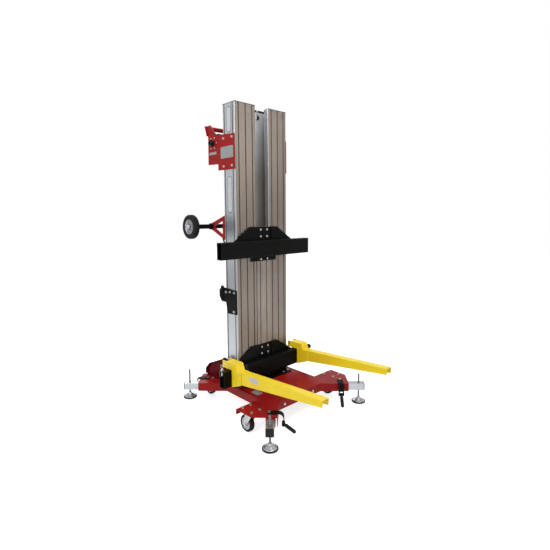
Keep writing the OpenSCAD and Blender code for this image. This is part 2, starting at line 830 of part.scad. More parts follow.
// Spine: a ribbed front bar whose rear flange runs inside the inner section
module spine_profile() {
    difference() {
        union() {
            translate([-neck_half, spine_front])
                square([2 * neck_half, spine_flange_front - spine_front + 1]);
            translate([-spine_half, spine_flange_front]) square([2 * spine_half, 8]);
            for (side = [-1, 1])
                translate([side * (spine_half - 4) - 4, spine_flange_front])
                    square([8, spine_leg_rear - spine_flange_front]);
        }
        for (x = [-1, 1] * carriage_bolt_x) translate([x, spine_front]) tee_slot();
        translate([0, spine_front]) circle(r = 1.2, $fn = 16);
        translate([-neck_half + column_wall, spine_front + slot_block + 1])
            square([2 * (neck_half - column_wall), spine_flange_front - slot_block - spine_front - 1]);
    }
}

module carriage_spine() color(alloy)
    translate([0, 0, spine_bottom]) linear_extrude(spine_length) spine_profile();

// A carriage beam with its back plate and wings, from the beam's lower face at z
module carriage_bracket(z) {
    top = beam_height + plate_above;
    difference() {
        union() {
            // Back plate
            translate([0, plate_rear, z])
                rotate([90, 0, 0])
                    linear_extrude(plate_t)
                        polygon([
                            [-bracket_half, -plate_below], [bracket_half, -plate_below],
                            [bracket_half, top], [-bracket_half, top]
                        ]);
            // Wings from the plate's top corners down to the beam
            for (side = [0, 1])
                mirror([side, 0, 0])
                    translate([0, plate_front, z])
                        rotate([90, 0, 0])
                            linear_extrude(plate_t)
                                polygon([
                                    [64, 0], [bracket_half, 0], [wing_reach, beam_height - 20],
                                    [wing_reach, beam_height], [bracket_half + 5, top], [64, top]
                                ]);
            // Beam
            translate([-beam_length / 2, beam_front, z])
                rotate([90, 0, 90])
                    linear_extrude(beam_length)
                        soft_square([0, 0], [beam_depth, beam_height], 5);
        }
        translate([-beam_length / 2 - 1, beam_front + beam_wall, z + beam_wall])
            cube([beam_length + 2, beam_depth - 2 * beam_wall, beam_height - 2 * beam_wall]);
        for (x = [-1, 1] * carriage_bolt_x, h = carriage_bolt_heights)
            translate([x, plate_rear + 1, z + h])
                rotate([90, 0, 0]) cylinder(d = carriage_bolt_d + 2 * fit, h = plate_t + 2);
        for (p = beam_hole_spots)
            translate([p.x, beam_front + beam_wall + 1, z + p.y])
                rotate([90, 0, 0]) cylinder(d = beam_hole_d, h = beam_wall + 2);
    }
}

module upper_beam() color(black) carriage_bracket(upper_beam_z);

module lower_beam() color(black)
    difference() {
        carriage_bracket(lower_beam_z);
        translate([-beam_pin_x, beam_pin_y, lower_beam_top - 2 * beam_wall])
            cylinder(d = beam_pin_d + 2 * fit, h = 3 * beam_wall);
    }

// Bolts that hold both beams to the slots of the spine
module carriage_bolts() color(zinc)
    for (z = [lower_beam_z, upper_beam_z], x = [-1, 1] * carriage_bolt_x, h = carriage_bolt_heights)
        translate([x, plate_front, z + h])
            rotate([90, 0, 0]) {
                bolt_head(carriage_bolt_d);
                translate([0, 0, -plate_t - slot_depth])
                    cylinder(d = carriage_bolt_d, h = plate_t + slot_depth + 1);
            }

// Ring pin that stops the fork at the beam's end
module beam_pin() color(zinc)
    translate([-beam_pin_x, beam_pin_y, lower_beam_top]) {
        translate([0, 0, -30]) cylinder(d = beam_pin_d, h = 30 + 16);
        translate([0, 0, gap]) cylinder(d = beam_pin_d + 8, h = 8);
        translate([0, 0, 16 + ring_d / 2 - 3])
            rotate([0, 90, 0])
                rotate_extrude($fn = 40)
                    translate([ring_d / 2 - ring_wire / 2, 0]) circle(d = ring_wire, $fn = 16);
    }

// Forks

// Outline of a fork's side plate: a hook over the beam and the root of the arm
function hook_outline() = [
    [hook_tip_y, lower_beam_top + hook_tip_rise], [hook_tip_y - 2, lower_beam_top + gap],
    [beam_front - gap, lower_beam_top + gap], [beam_front - gap, lower_beam_z - 2],
    [arm_root_y + 2, arm_root_z - 2], [arm_root_y, arm_top_z + 2], [neck_y, arm_top_z],
    [neck_y + 20, hook_crown], [-25, hook_back]
];

module fork() {
    half = fork_width / 2;
    tip_y = -fork_reach;
    difference() {
        union() {
            for (x = [-half - fork_plate, half])
                along_x(x, fork_plate) polygon(hook_outline());
            difference() {
                along_x(-half, fork_width)
                    polygon([
                        [neck_y + 15, arm_top_z], [tip_y, arm_tip_top], [tip_y + 3, arm_tip_bottom],
                        [tip_y * 0.67, lower_beam_top - 21], [arm_root_y + 2, arm_root_z],
                        [neck_y + 15, arm_root_z - 18]
                    ]);
                along_x(-half + fork_wall, fork_width - 2 * fork_wall)
                    polygon([
                        [neck_y + 30, arm_top_z - fork_wall - 0.5], [tip_y - 10, arm_tip_top - fork_wall],
                        [tip_y - 10, lower_beam_z], [neck_y + 30, lower_beam_z - 20]
                    ]);
            }
            // Sloped plate that closes the neck between the side plates
            along_x(-half, fork_width)
                polygon([
                    [neck_y + 20, hook_crown], [neck_y, arm_top_z],
                    [neck_y + 6, arm_top_z - 3], [neck_y + 26, hook_crown]
                ]);
            // Cover on top of the hook
            along_x(-half, fork_width)
                polygon([
                    [neck_y + 20, hook_crown], [-25, hook_back], [0, hook_back - 1],
                    [0, hook_back - 1 - hook_cover_t], [-25, hook_back - hook_cover_t],
                    [neck_y + 20, hook_crown - hook_cover_t]
                ]);
            // Lip behind the beam that keeps the hook from tipping
            along_x(-half, fork_width)
                polygon([
                    [beam_rear + gap, lower_beam_top - 34], [beam_rear + gap + 10, lower_beam_top - 34],
                    [beam_rear + gap + 10, lower_beam_top + 6], [beam_rear + gap, lower_beam_top + 6]
                ]);
        }
        rod_x(-half - 2 * fork_plate, half + 2 * fork_plate, fork_rod_y, fork_rod_z, fork_rod_d + 2 * fit);
        rod_x(half - fork_wall, half + fork_plate + 1, knob_y, knob_z, knob_screw_d + 2 * fit);
    }
}

module fork_left() color(yellow) translate([-fork_offset, 0, 0]) fork();
module fork_right() color(yellow) translate([fork_offset, 0, 0]) fork();

// Rod across the back of the hook
module fork_rod() {
    reach = fork_width / 2 + fork_plate;
    rod_x(-reach, reach, fork_rod_y, fork_rod_z, fork_rod_d);
}

module fork_rod_left() color(zinc) translate([-fork_offset, 0, 0]) fork_rod();
module fork_rod_right() color(zinc) translate([fork_offset, 0, 0]) fork_rod();

// Locking knob on the right side plate of each fork
module fork_knob() {
    face = fork_width / 2 + fork_plate;
    translate([face + gap, knob_y, knob_z])
        rotate([0, 90, 0]) {
            translate([0, 0, -fork_plate - 3]) cylinder(d = knob_screw_d, h = fork_plate + 4);
            cylinder(d = knob_d * 0.6, h = 6);
            translate([0, 0, 5])
                linear_extrude(knob_l - 5) {
                    circle(d = knob_d - 7);
                    for (a = [0:60:300])
                        rotate(a) translate([knob_d / 2 - 5, 0]) circle(d = 10);
                }
        }
}

module fork_knob_left() color(black) translate([-fork_offset, 0, 0]) fork_knob();
module fork_knob_right() color(black) translate([fork_offset, 0, 0]) fork_knob();

// Winch console

// Side plate of the console with its folded arm edge
module winch_plate(bore) {
    difference() {
        translate([half_mast, 0, 0])
            rotate([90, 0, 90])
                folded_sheet(winch_outline, [5, 7], winch_sheet, winch_fold);
        rod_x(half_mast - 1, half_mast + winch_sheet + 1, winch_y, winch_z, bore + 2 * fit);
        for (p = winch_bolt_spots)
            rod_x(half_mast - 1, half_mast + winch_sheet + 1, p.x, p.y, 8 + 2 * fit);
    }
}

module winch_plate_right() color(red) winch_plate(drum_shaft_d);
module winch_plate_left() color(red) mirror([1, 0, 0]) winch_plate(socket_shaft_d);

module push_bar() color(red)
    rod_x(-half_mast, half_mast, push_bar_y, push_bar_z, push_bar_d);

// Gear housing inside the left plate
module winch_gearbox() color(black)
    difference() {
        translate([-half_mast, winch_y - gearbox_half, winch_z - gearbox_half])
            cube([gearbox_w, 2 * gearbox_half, 2 * gearbox_half]);
        rod_x(-half_mast + 30, -half_mast + gearbox_w + 1, winch_y, winch_z, drum_shaft_d + 2 * fit);
        rod_x(-half_mast - 1, -half_mast + 20, winch_y, winch_z, socket_shaft_d + 2 * fit);
    }

// Rope drum on its shaft
module winch_drum() color(zinc) {
    rod_x(-half_mast + 32, half_mast + winch_sheet + 6, winch_y, winch_z, drum_shaft_d);
    rod_x(-drum_half, drum_half, winch_y, winch_z, drum_core_d);
    for (x = [-drum_half - drum_flange_t, drum_half])
        rod_x(x, x + drum_flange_t, winch_y, winch_z, drum_flange_d);
}

// Drive socket that takes the crank
module winch_socket() color(black)
    difference() {
        union() {
            rod_x(-half_mast - winch_sheet - 26, -half_mast - winch_sheet - gap,
                  winch_y, winch_z, socket_hub_d);
            rod_x(-half_mast - winch_sheet - 2, -half_mast + 18, winch_y, winch_z, socket_shaft_d);
        }
        translate([-half_mast - winch_sheet - 27, winch_y, winch_z])
            rotate([0, 90, 0]) cylinder(d = 22, h = 18, $fn = 6);
    }

// Transport axle

// Pair of triangular brackets with a cross piece on the back of the mast
module axle_brackets() color(red) {
    hub_r = axle_tube_d / 2 + 7;
    for (side = [0, 1])
        mirror([side, 0, 0]) {
            along_x(half_mast - bracket_t, bracket_t)
                difference() {
                    union() {
                        polygon([
                            [column_depth, bracket_foot], [axle_y, axle_z - hub_r], [axle_y, axle_z + hub_r],
                            [column_depth, bracket_top]
                        ]);
                        translate([axle_y, axle_z]) circle(r = hub_r);
                    }
                    translate([axle_y, axle_z]) circle(d = axle_tube_d + 2 * fit);
                    polygon([
                        [column_depth + 20, bracket_foot + 34], [axle_y - hub_r - 8, axle_z - 6],
                        [axle_y - hub_r - 8, axle_z + 2], [column_depth + 20, bracket_top - 34]
                    ]);
                }
            translate([half_mast - 38, column_depth, bracket_foot])
                cube([38, bracket_t, bracket_top - bracket_foot]);
        }
    translate([-half_mast, column_depth, axle_z - 14]) cube([2 * half_mast, bracket_t, 28]);
}

// Black axle: a tube with collars on a solid shaft
module axle_tube() color(black) {
    tube_half = wheel_inner_face - 4;
    rod_x(-tube_half, tube_half, axle_y, axle_z, axle_tube_d);
    rod_x(-wheel_outer_face - 3, wheel_outer_face + 3, axle_y, axle_z, axle_d);
    for (x = [-half_mast - 14, half_mast + 2])
        rod_x(x, x + 12, axle_y, axle_z, axle_tube_d + 12);
    for (x = [-wheel_outer_face - 5, wheel_outer_face + 0.6])
        rod_x(x, x + 4.4, axle_y, axle_z, axle_d + 10);
}

// Transport wheel: a solid tyre on a pressed steel centre
module transport_wheel() {
    r = transport_d / 2;
    w = transport_w / 2;
    rim = r * 0.6;
    bore = axle_d / 2 + fit;
    rotate([0, 90, 0])
        rotate_extrude($fn = 96)
            polygon([
                [bore, -w], [bore + 7, -w], [bore + 7, -5], [rim - 8, -8], [rim - 3, -w + 5],
                [rim, -w + 5], [rim + 2, -w], [r - 9, -w], [r - 3, -w + 5], [r, -w + 13],
                [r, w - 13], [r - 3, w - 5], [r - 9, w], [rim + 2, w],
                [rim, w - 5], [rim - 3, w - 5], [rim - 8, -2], [bore + 7, 1], [bore + 7, w], [bore, w]
            ]);
}

module transport_wheel_left() color(rubber)
    translate([-wheel_inner_face - transport_w / 2, axle_y, axle_z]) mirror([1, 0, 0]) transport_wheel();
module transport_wheel_right() color(rubber)
    translate([wheel_inner_face + transport_w / 2, axle_y, axle_z]) transport_wheel();

// Side latch

// Plate on the mast's left side with the barrel of the plunger
module latch_bracket() color(black)
    difference() {
        union() {
            along_x(-half_mast - latch_t, latch_t) polygon(latch_outline);
            translate([-half_mast - latch_t / 2, latch_pin_y, latch_barrel_bottom])
                cylinder(d = latch_barrel_d, h = latch_barrel_top - latch_barrel_bottom);
        }
        translate([-half_mast - latch_t / 2, latch_pin_y, latch_barrel_bottom - 20])
            cylinder(d = latch_pin_d + 2 * fit, h = latch_barrel_top - latch_barrel_bottom + 40);
    }

// Spring plunger with its pull ring
module latch_plunger() color(zinc)
    translate([-half_mast - latch_t / 2, latch_pin_y, 0]) {
        translate([0, 0, latch_barrel_bottom - 14])
            cylinder(d = latch_pin_d, h = latch_barrel_top - latch_barrel_bottom + 24);
        translate([0, 0, latch_barrel_top + gap]) cylinder(d = latch_pin_d + 6, h = 7);
        translate([0, 0, latch_barrel_top + 8 + latch_ring_d / 2])
            rotate([0, 90, 0])
                rotate_extrude($fn = 40)
                    translate([latch_ring_d / 2 - ring_wire / 2, 0]) circle(d = ring_wire, $fn = 16);
    }

// Fasteners of the fixed frame: deck, castors, locks, cheeks, winch, axle, ties and latch
module frame_bolts() color(zinc) {
    for (x = foot_bolt_spots)
        translate([x, foot_bolt_y, deck_top + foot_bar_t]) {
            bolt_head(8);
            translate([0, 0, -foot_bar_t]) cylinder(d = 10, h = foot_bar_t + 1);
        }
    for (x = [-144, 112])
        translate([x, deck_right[0].y, deck_top - deck_flange / 2])
            rotate([90, 0, 0]) bolt_head(8);
    for (side = [-1, 1], front = [true, false])
        at_castor(side, front)
            for (x = [-1, 1] * castor_bolt_w / 2, y = [-1, 1] * castor_bolt_l / 2)
                translate([x, y, deck_top]) bolt_head(8);
    for (side = [-1, 1], front = [true, false])
        at_lock(side, front)
            translate([0, lock_tail - 12, deck_top + strap_t]) bolt_head(8);
    for (side = [0, 1])
        mirror([side, 0, 0]) {
            rod_x(half_mast, cheek_x + cheek_sheet + 4, cheek_bolt_y, cheek_bolt_z, cheek_bolt_d);
            translate([cheek_x + cheek_sheet, cheek_bolt_y, cheek_bolt_z])
                rotate([0, 90, 0]) bolt_head(9);
            rod_x(half_mast, cheek_x, cheek_bolt_y, cheek_bolt_z, cheek_bolt_d + 10);
            for (p = winch_bolt_spots)
                translate([half_mast + winch_sheet, p.x, p.y])
                    rotate([0, 90, 0]) {
                        bolt_head(8);
                        translate([0, 0, -winch_sheet]) cylinder(d = 8, h = winch_sheet + 1);
                    }
            for (z = [bracket_foot + 18, bracket_top - 18])
                translate([half_mast - 26, column_depth + bracket_t, z])
                    rotate([-90, 0, 0]) bolt_head(8);
        }
    for (a = [30:60:330])
        translate([-half_mast - winch_sheet, winch_y, winch_z])
            rotate([0, -90, 0])
                rotate(a) translate([socket_bolt_r, 0, 0]) bolt_head(5);
    for (p = latch_bolt_spots)
        translate([-half_mast - latch_t, p.x, p.y])
            rotate([0, -90, 0]) bolt_head(8);
    for (z = tie_heights, x = [-1, 1] * (tie_half - 22), h = [0.25, 0.75] * tie_h)
        translate([x, column_depth + tie_t, z + h])
            rotate([-90, 0, 0]) bolt_head(8);
}

base_deck();
cheek_left();
cheek_right();
mast_foot_bar();
castor_plates();
lock_brackets();
frame_bolts();
mast_column_left();
mast_column_right();
mast_ties();
mast_sheave();
winch_plate_left();
winch_plate_right();
push_bar();
winch_gearbox();
winch_drum();
winch_socket();
axle_brackets();
axle_tube();
transport_wheel_left();
transport_wheel_right();
latch_bracket();
latch_plunger();
castor_fork_front_left();
castor_fork_front_right();
castor_fork_rear_left();
castor_fork_rear_right();
castor_wheel_front_left();
castor_wheel_front_right();
castor_wheel_rear_left();
castor_wheel_rear_right();
stabiliser_front_left();
stabiliser_front_right();
stabiliser_rear_left();
stabiliser_rear_right();
jack_front_left();
jack_front_right();
jack_rear_left();
jack_rear_right();
lock_lever_front_left();
lock_lever_front_right();
lock_lever_rear_left();
lock_lever_rear_right();
middle_section();
middle_guides();
middle_sheave();
inner_section();
inner_guides();
inner_sheave();
carriage_spine();
upper_beam();
lower_beam();
carriage_bolts();
beam_pin();
fork_left();
fork_right();
fork_rod_left();
fork_rod_right();
fork_knob_left();
fork_knob_right();
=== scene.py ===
"""Looks of the material hoist: finishes, rubber, labels, small fittings and the studio."""

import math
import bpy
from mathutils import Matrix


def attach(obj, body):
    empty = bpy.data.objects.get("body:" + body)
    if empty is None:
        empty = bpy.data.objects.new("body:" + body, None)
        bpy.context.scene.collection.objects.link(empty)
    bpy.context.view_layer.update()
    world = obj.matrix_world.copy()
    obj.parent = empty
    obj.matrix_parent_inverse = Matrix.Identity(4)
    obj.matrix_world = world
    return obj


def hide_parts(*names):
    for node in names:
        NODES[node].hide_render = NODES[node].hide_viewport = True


bl_info = {
    "name": "Material hoist",
    "version": (1, 0, 0),
    "blender": (4, 5, 0),
    "location": "View3D > Sidebar > Hoist",
    "description": "Finishes, wheels, feet, grips and labels of a telescopic material hoist",
    "category": "Object",
}

import bpy
from bpy.props import FloatProperty, FloatVectorProperty, PointerProperty
from mathutils import Matrix, Vector

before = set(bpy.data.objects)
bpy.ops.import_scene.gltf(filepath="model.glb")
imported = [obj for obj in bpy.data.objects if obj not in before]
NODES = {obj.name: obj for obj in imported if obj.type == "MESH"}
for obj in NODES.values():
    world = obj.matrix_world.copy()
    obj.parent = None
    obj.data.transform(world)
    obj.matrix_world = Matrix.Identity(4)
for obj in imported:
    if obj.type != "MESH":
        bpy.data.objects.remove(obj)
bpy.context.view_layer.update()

# Each corner's side and whether it is in front
CORNERS = {
    "front_left": (-1, True),
    "front_right": (1, True),
    "rear_left": (-1, False),
    "rear_right": (1, False),
}
FINISHES = {}
AXIS_X = (1, 0, 0)

# Places that repeat the frame's dimensions, in metres
DECK_TOP = 0.146
SPINDLE_X = 0.401
FRONT_SPINDLE_Y = -0.491
REAR_SPINDLE_Y = 0.302
SPINDLE_TOP = 0.190
TUBE_BOTTOM = 0.0925
TUBE_SIDE = 0.045
TUBE_NOSE = 0.035
FOOT_RADIUS = 0.045
FOOT_REST = {"front_left": 0.007, "front_right": 0.007, "rear_left": 0.035, "rear_right": 0.007}
FRONT_LOCK = (-0.123, -0.0416, 0)
REAR_LOCK = (-0.066, 0.042, 0)
LOCK_HUB = (0, -0.029, 0.084)
LOCK_STRAP_HALF = 0.0099
FRONT_GRIP_TILT = 38
CASTOR_SPOTS = {
    "front_left": (-0.362, -0.292),
    "front_right": (0.362, -0.292),
    "rear_left": (-0.228, 0.276),
    "rear_right": (0.228, 0.276),
}
CASTOR_TRAIL = 0.036
CASTOR_RADIUS = 0.050
TRANSPORT_X = 0.380
TRANSPORT_Y = 0.268
TRANSPORT_Z = 1.176
TRANSPORT_RADIUS = 0.078
TREAD_FALL = 0.07
NUT_CIRCLE = 0.029
WHEEL_FACE = 0.401
MAST_TOP = 1.940
MAST_HALF = 0.2192
COLUMN_INSIDE = 0.0548
COLUMN_DEPTH = 0.126
PIN_RING = (-0.369, -0.024, 0.322)
PIN_RING_OUT = 0.013
BEAM_END = 0.380
CONSOLE_FACE = -0.2232
FORK_FACE = -0.323

# Camera, fitted to points of the photograph
CAMERA_SPOT = (-1.7681, -1.9878, 1.2389)
CAMERA_AHEAD = (0.68248, 0.72408, -0.09960)
CAMERA_RIGHT = (0.72719, -0.68640, -0.00717)
CAMERA_LENS = 26.30
CAMERA_SHIFT = (0.00053, -0.03327)

# Soft lamps: place, size, watts and the height over the origin that each aims at
LAMPS = {
    "key": ((-4.0, -1.2, 3.6), 2.6, 100, 0.9),
    "fill": ((2.6, -4.2, 2.6), 2.4, 30, 0.9),
    "top": ((0.4, -0.4, 5.2), 3.0, 55, 0.9),
    "back": ((1.5, 4.2, 3.0), 2.4, 40, 0.9),
    "head": ((-0.7, -1.1, 3.0), 0.5, 13, 1.9),
}
CARD_TURN = 43
SKY_LIGHT = 0.42

# Modelling: size of the plane that becomes a first point, and the reach of a merge
START_SIZE = 0.004
MERGE_WITHIN = 0.00002

# Materials: rays of a bevel node, and how fast a noise's details fade
BEVEL_RAYS = 4
NOISE_FADE = 0.6


def linear(code):
    """Linear RGBA from an sRGB hex colour."""
    out = []
    for i in (1, 3, 5):
        c = int(code[i:i + 2], 16) / 255
        out.append(c / 12.92 if c <= 0.04045 else ((c + 0.055) / 1.055) ** 2.4)
    return (*out, 1.0)


# Properties


class HOIST_PG_colours(bpy.types.PropertyGroup):
    """Colours of the finishes"""

    red: FloatVectorProperty(
        name="Red paint", description="Powder coat of the base and the console",
        default=linear("#981B18"), size=4, subtype="COLOR", min=0, max=1)
    yellow: FloatVectorProperty(
        name="Yellow paint", description="Powder coat of the forks",
        default=linear("#F7DD2B"), size=4, subtype="COLOR", min=0, max=1)
    black: FloatVectorProperty(
        name="Black paint", description="Satin powder coat of the carriage",
        default=linear("#090909"), size=4, subtype="COLOR", min=0, max=1)
    aluminium: FloatVectorProperty(
        name="Aluminium", description="Anodised mast extrusions",
        default=linear("#B6BABE"), size=4, subtype="COLOR", min=0, max=1)
    rubber: FloatVectorProperty(
        name="Rubber", description="Tyres and foot rims",
        default=linear("#111010"), size=4, subtype="COLOR", min=0, max=1)


class HOIST_PG_sizes(bpy.types.PropertyGroup):
    """Sizes of the modelled pieces"""

    tyre_groove: FloatProperty(
        name="Tyre groove", description="Depth of the grooves in a transport tyre",
        default=0.0018, min=0.0, max=0.004, unit="LENGTH")
    thread_pitch: FloatProperty(
        name="Thread pitch", description="Pitch of the jack thread",
        default=0.004, min=0.002, max=0.006, unit="LENGTH")
    label_height: FloatProperty(
        name="Label thickness", description="Height of a label over its face",
        default=0.0008, min=0.0003, max=0.002, unit="LENGTH")
    edge_radius: FloatProperty(
        name="Edge radius", description="Softness of the edges of painted steel",
        default=0.0016, min=0.0005, max=0.004, unit="LENGTH")


# Modelling helpers


def start_clean():
    """Leaves edit mode and deselects everything."""
    if bpy.context.object and bpy.context.object.mode != "OBJECT":
        bpy.ops.object.mode_set(mode="OBJECT")
    bpy.ops.object.select_all(action="DESELECT")


def close_edit(name, angle=35):
    """Merges, turns the faces outward and leaves the piece named, placed and smooth."""
    bpy.ops.mesh.select_all(action="SELECT")
    bpy.ops.mesh.remove_doubles(threshold=MERGE_WITHIN)
    bpy.ops.mesh.normals_make_consistent(inside=False)
    bpy.ops.object.mode_set(mode="OBJECT")
    bpy.ops.object.transform_apply(location=True, rotation=True, scale=True)
    bpy.ops.object.shade_smooth_by_angle(angle=math.radians(angle))
    piece = bpy.context.object
    piece.name = name
    piece.data.name = name
    return piece


def traced(spots):
    """Starts a piece as a line of edges through the spots, selected in edit mode."""
    start_clean()
    bpy.ops.mesh.primitive_plane_add(size=START_SIZE, location=spots[0])
    bpy.ops.object.mode_set(mode="EDIT")
    bpy.ops.mesh.merge(type="CENTER")
    for before, after in zip(spots, spots[1:]):
        bpy.ops.mesh.extrude_region_move(TRANSFORM_OT_translate={"value": after - before})
    bpy.ops.mesh.select_all(action="SELECT")


def mirrored(half):
    """A closed profile of (radius, height) points from the half above zero."""
    outline = half + [(radius, -height) for radius, height in reversed(half)]
    return outline + outline[:1]


def turned(name, profile, steps=48, axis=(0, 0, 1)):
    """Spins a profile of (radius, height) points round an axis through the origin."""
    axis = Vector(axis)
    side = Vector((1, 0, 0)) if abs(axis.x) < 0.5 else Vector((0, 1, 0))
    traced([side * radius + axis * height for radius, height in profile])
    bpy.ops.mesh.spin(steps=steps, angle=2 * math.pi, center=(0, 0, 0), axis=axis)
    return close_edit(name)


def block(name, low, high, bevel, segments):
    """A box from corner to corner with rounded edges."""
    low, high = Vector(low), Vector(high)
    start_clean()
    bpy.ops.mesh.primitive_cube_add(size=1, location=(low + high) / 2, scale=high - low)
    bpy.ops.object.transform_apply(location=True, rotation=True, scale=True)
    bpy.ops.object.mode_set(mode="EDIT")
    bpy.ops.mesh.select_all(action="SELECT")
    bpy.ops.mesh.bevel(offset=bevel, segments=segments, affect="EDGES")
    return close_edit(name)


def plate(name, centre, across, up, width, height, corner, thick):
    """A thin rounded plate on a face; across and up lie in the face."""
    across, up = Vector(across), Vector(up)
    out = across.cross(up)
    start_clean()
    turn = Matrix((across, up, out)).transposed().to_4x4()
    bpy.ops.mesh.primitive_plane_add(size=1)
    bpy.context.object.data.transform(Matrix.Diagonal((width, height, 1, 1)))
    bpy.context.object.data.transform(Matrix.Translation(centre) @ turn)
    bpy.ops.object.mode_set(mode="EDIT")
    bpy.ops.mesh.select_all(action="SELECT")
    bpy.ops.mesh.bevel(offset=corner, segments=5, affect="VERTICES")
    bpy.ops.mesh.extrude_region_move(TRANSFORM_OT_translate={"value": out * thick})
    bpy.ops.mesh.inset(thickness=thick * 0.6, depth=0)
    return close_edit(name)


def strap(name, spots, across, thick):
    """A strip of sheet that follows a line of spots, widened along across."""
    traced([Vector(spot) for spot in spots])
    bpy.ops.mesh.extrude_region_move(TRANSFORM_OT_translate={"value": across})
    bpy.ops.object.mode_set(mode="OBJECT")
    wall = bpy.context.object.modifiers.new("wall", "SOLIDIFY")
    wall.thickness = thick
    wall.offset = 0
    bpy.ops.object.modifier_apply(modifier="wall")
    bpy.ops.object.mode_set(mode="EDIT")
    return close_edit(name, 25)


def placed(piece, move):
    """Moves a piece's mesh by a matrix, with its faces outward after a mirror."""
    piece.data.transform(move)
    if move.determinant() < 0:
        piece.data.flip_normals()
    return piece


def copied(source, name, move):
    """A copy with its own mesh, moved by a matrix."""
    piece = source.copy()
    piece.data = source.data.copy()
    piece.name = name
    piece.data.name = name
    bpy.context.collection.objects.link(piece)
    return placed(piece, move)


def discard(*patterns):
    """Removes pieces that were only copied from."""
    for pattern in patterns:
        bpy.data.objects.remove(pattern)


def joined(name, pieces):
    """Several fresh pieces made one."""
    start_clean()
    for piece in pieces:
        piece.select_set(True)
    bpy.context.view_layer.objects.active = pieces[0]
    bpy.ops.object.join()
    pieces[0].name = name
    pieces[0].data.name = name
    return pieces[0]


def dress(piece, finish):
    """Gives a piece one material."""
    piece.data.materials.clear()
    piece.data.materials.append(FINISHES[finish])


def settle(piece, finish, body, slot, *stands_for):
    """Dresses a piece and hangs it on its body."""
    dress(piece, finish)
    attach(piece, body)
    if stands_for:
        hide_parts(*stands_for)


def corner_place(corner):
    """Matrix to a stabiliser spindle, with X outward along the tube."""
    side, front = CORNERS[corner]
    spot = Vector((SPINDLE_X, FRONT_SPINDLE_Y if front else REAR_SPINDLE_Y, 0))
    turn = Matrix.Rotation(math.radians(-45 if front else 45), 4, "Z")
    return Matrix.Diagonal((side, 1, 1, 1)) @ Matrix.Translation(spot) @ turn


def lock_place(corner):
    """Matrix to a stabiliser lock, with -Y out over the deck edge."""
    if CORNERS[corner][1]:
        return corner_place(corner) @ Matrix.Translation(FRONT_LOCK)
    turn = Matrix.Rotation(math.radians(90), 4, "Z")
    return corner_place(corner) @ Matrix.Translation(REAR_LOCK) @ turn


# Materials


def add_node(tree, kind, settings=None, links=None):
    """Adds a node; settings name its inputs or properties, links name its inputs."""
    made = tree.nodes.new(kind)
    for key, value in (settings or {}).items():
        if isinstance(key, int) or key in made.inputs:
            made.inputs[key].default_value = value
        else:
            setattr(made, key, value)
    for key, source in (links or {}).items():
        tree.links.new(source, made.inputs[key])
    return made


def new_finish(name, shader):
    """A material with its shader and the object's own coordinates."""
    material = bpy.data.materials.new(name)
    material.use_nodes = True
    tree = material.node_tree
    tree.nodes.clear()
    gloss = add_node(tree, "ShaderNodeBsdfPrincipled", shader)
    add_node(tree, "ShaderNodeOutputMaterial", links={"Surface": gloss.outputs[0]})
    place = add_node(tree, "ShaderNodeTexCoord").outputs["Object"]
    FINISHES[name] = material
    return tree, gloss, place


def patches(tree, place, wide, detail, low, high, bottom=0.0, top=1.0):
    """Clouds about `wide` mm across, drawn out from low..high to bottom..top."""
    noise = add_node(
        tree, "ShaderNodeTexNoise",
        {"Scale": 1000 / wide, "Detail": detail, "Roughness": NOISE_FADE}, {"Vector": place})
    return add_node(
        tree, "ShaderNodeMapRange",
        {"From Min": low, "From Max": high, "To Min": bottom, "To Max": top},
        {"Value": noise.outputs["Fac"]}).outputs[0]


def two_tones(tree, gloss, colour, shade, *pattern):
    """Colours a plain surface with patches of a second tone and gives their amount."""
    amount = patches(tree, *pattern)
    tone = add_node(
        tree, "ShaderNodeMix", {"data_type": "RGBA", 6: colour, 7: shade}, {0: amount})
    tree.links.new(tone.outputs[2], gloss.inputs["Base Color"])
    return amount


def worn_edges(tree, place, radius, amount):
    """Mask of the outer edges, broken up by patches, and the softened normal."""
    soft = add_node(
        tree, "ShaderNodeBevel", {"samples": BEVEL_RAYS, "Radius": radius}).outputs[0]
    flat = add_node(tree, "ShaderNodeNewGeometry").outputs["True Normal"]
    agree = add_node(
        tree, "ShaderNodeVectorMath", {"operation": "DOT_PRODUCT"}, {0: soft, 1: flat})
    # Cosines: wear starts where the softened normal leans 6 degrees and is full at 26
    edge = add_node(
        tree, "ShaderNodeMapRange", {"From Min": 0.995, "From Max": 0.9, "To Max": amount},
        {"Value": agree.outputs["Value"]})
    both = add_node(
        tree, "ShaderNodeMath", {"operation": "MULTIPLY"},
        {0: edge.outputs[0], 1: patches(tree, place, 30, 5, 0.42, 0.62)})
    return both.outputs[0], soft


def fine_grain(tree, gloss, height, rough, strength, depth, normal=None):
    """Lets a fine pattern, mostly within 0.3 to 0.7, vary the roughness and the bump."""
    rub = add_node(
        tree, "ShaderNodeMapRange",
        {"From Min": 0.3, "From Max": 0.7, "To Min": rough[0], "To Max": rough[1]},
        {"Value": height})
    tree.links.new(rub.outputs[0], gloss.inputs["Roughness"])
    relief = add_node(
        tree, "ShaderNodeBump", {"Strength": strength, "Distance": depth}, {"Height": height})
    if normal:
        tree.links.new(normal, relief.inputs["Normal"])
    tree.links.new(relief.outputs[0], gloss.inputs["Normal"])


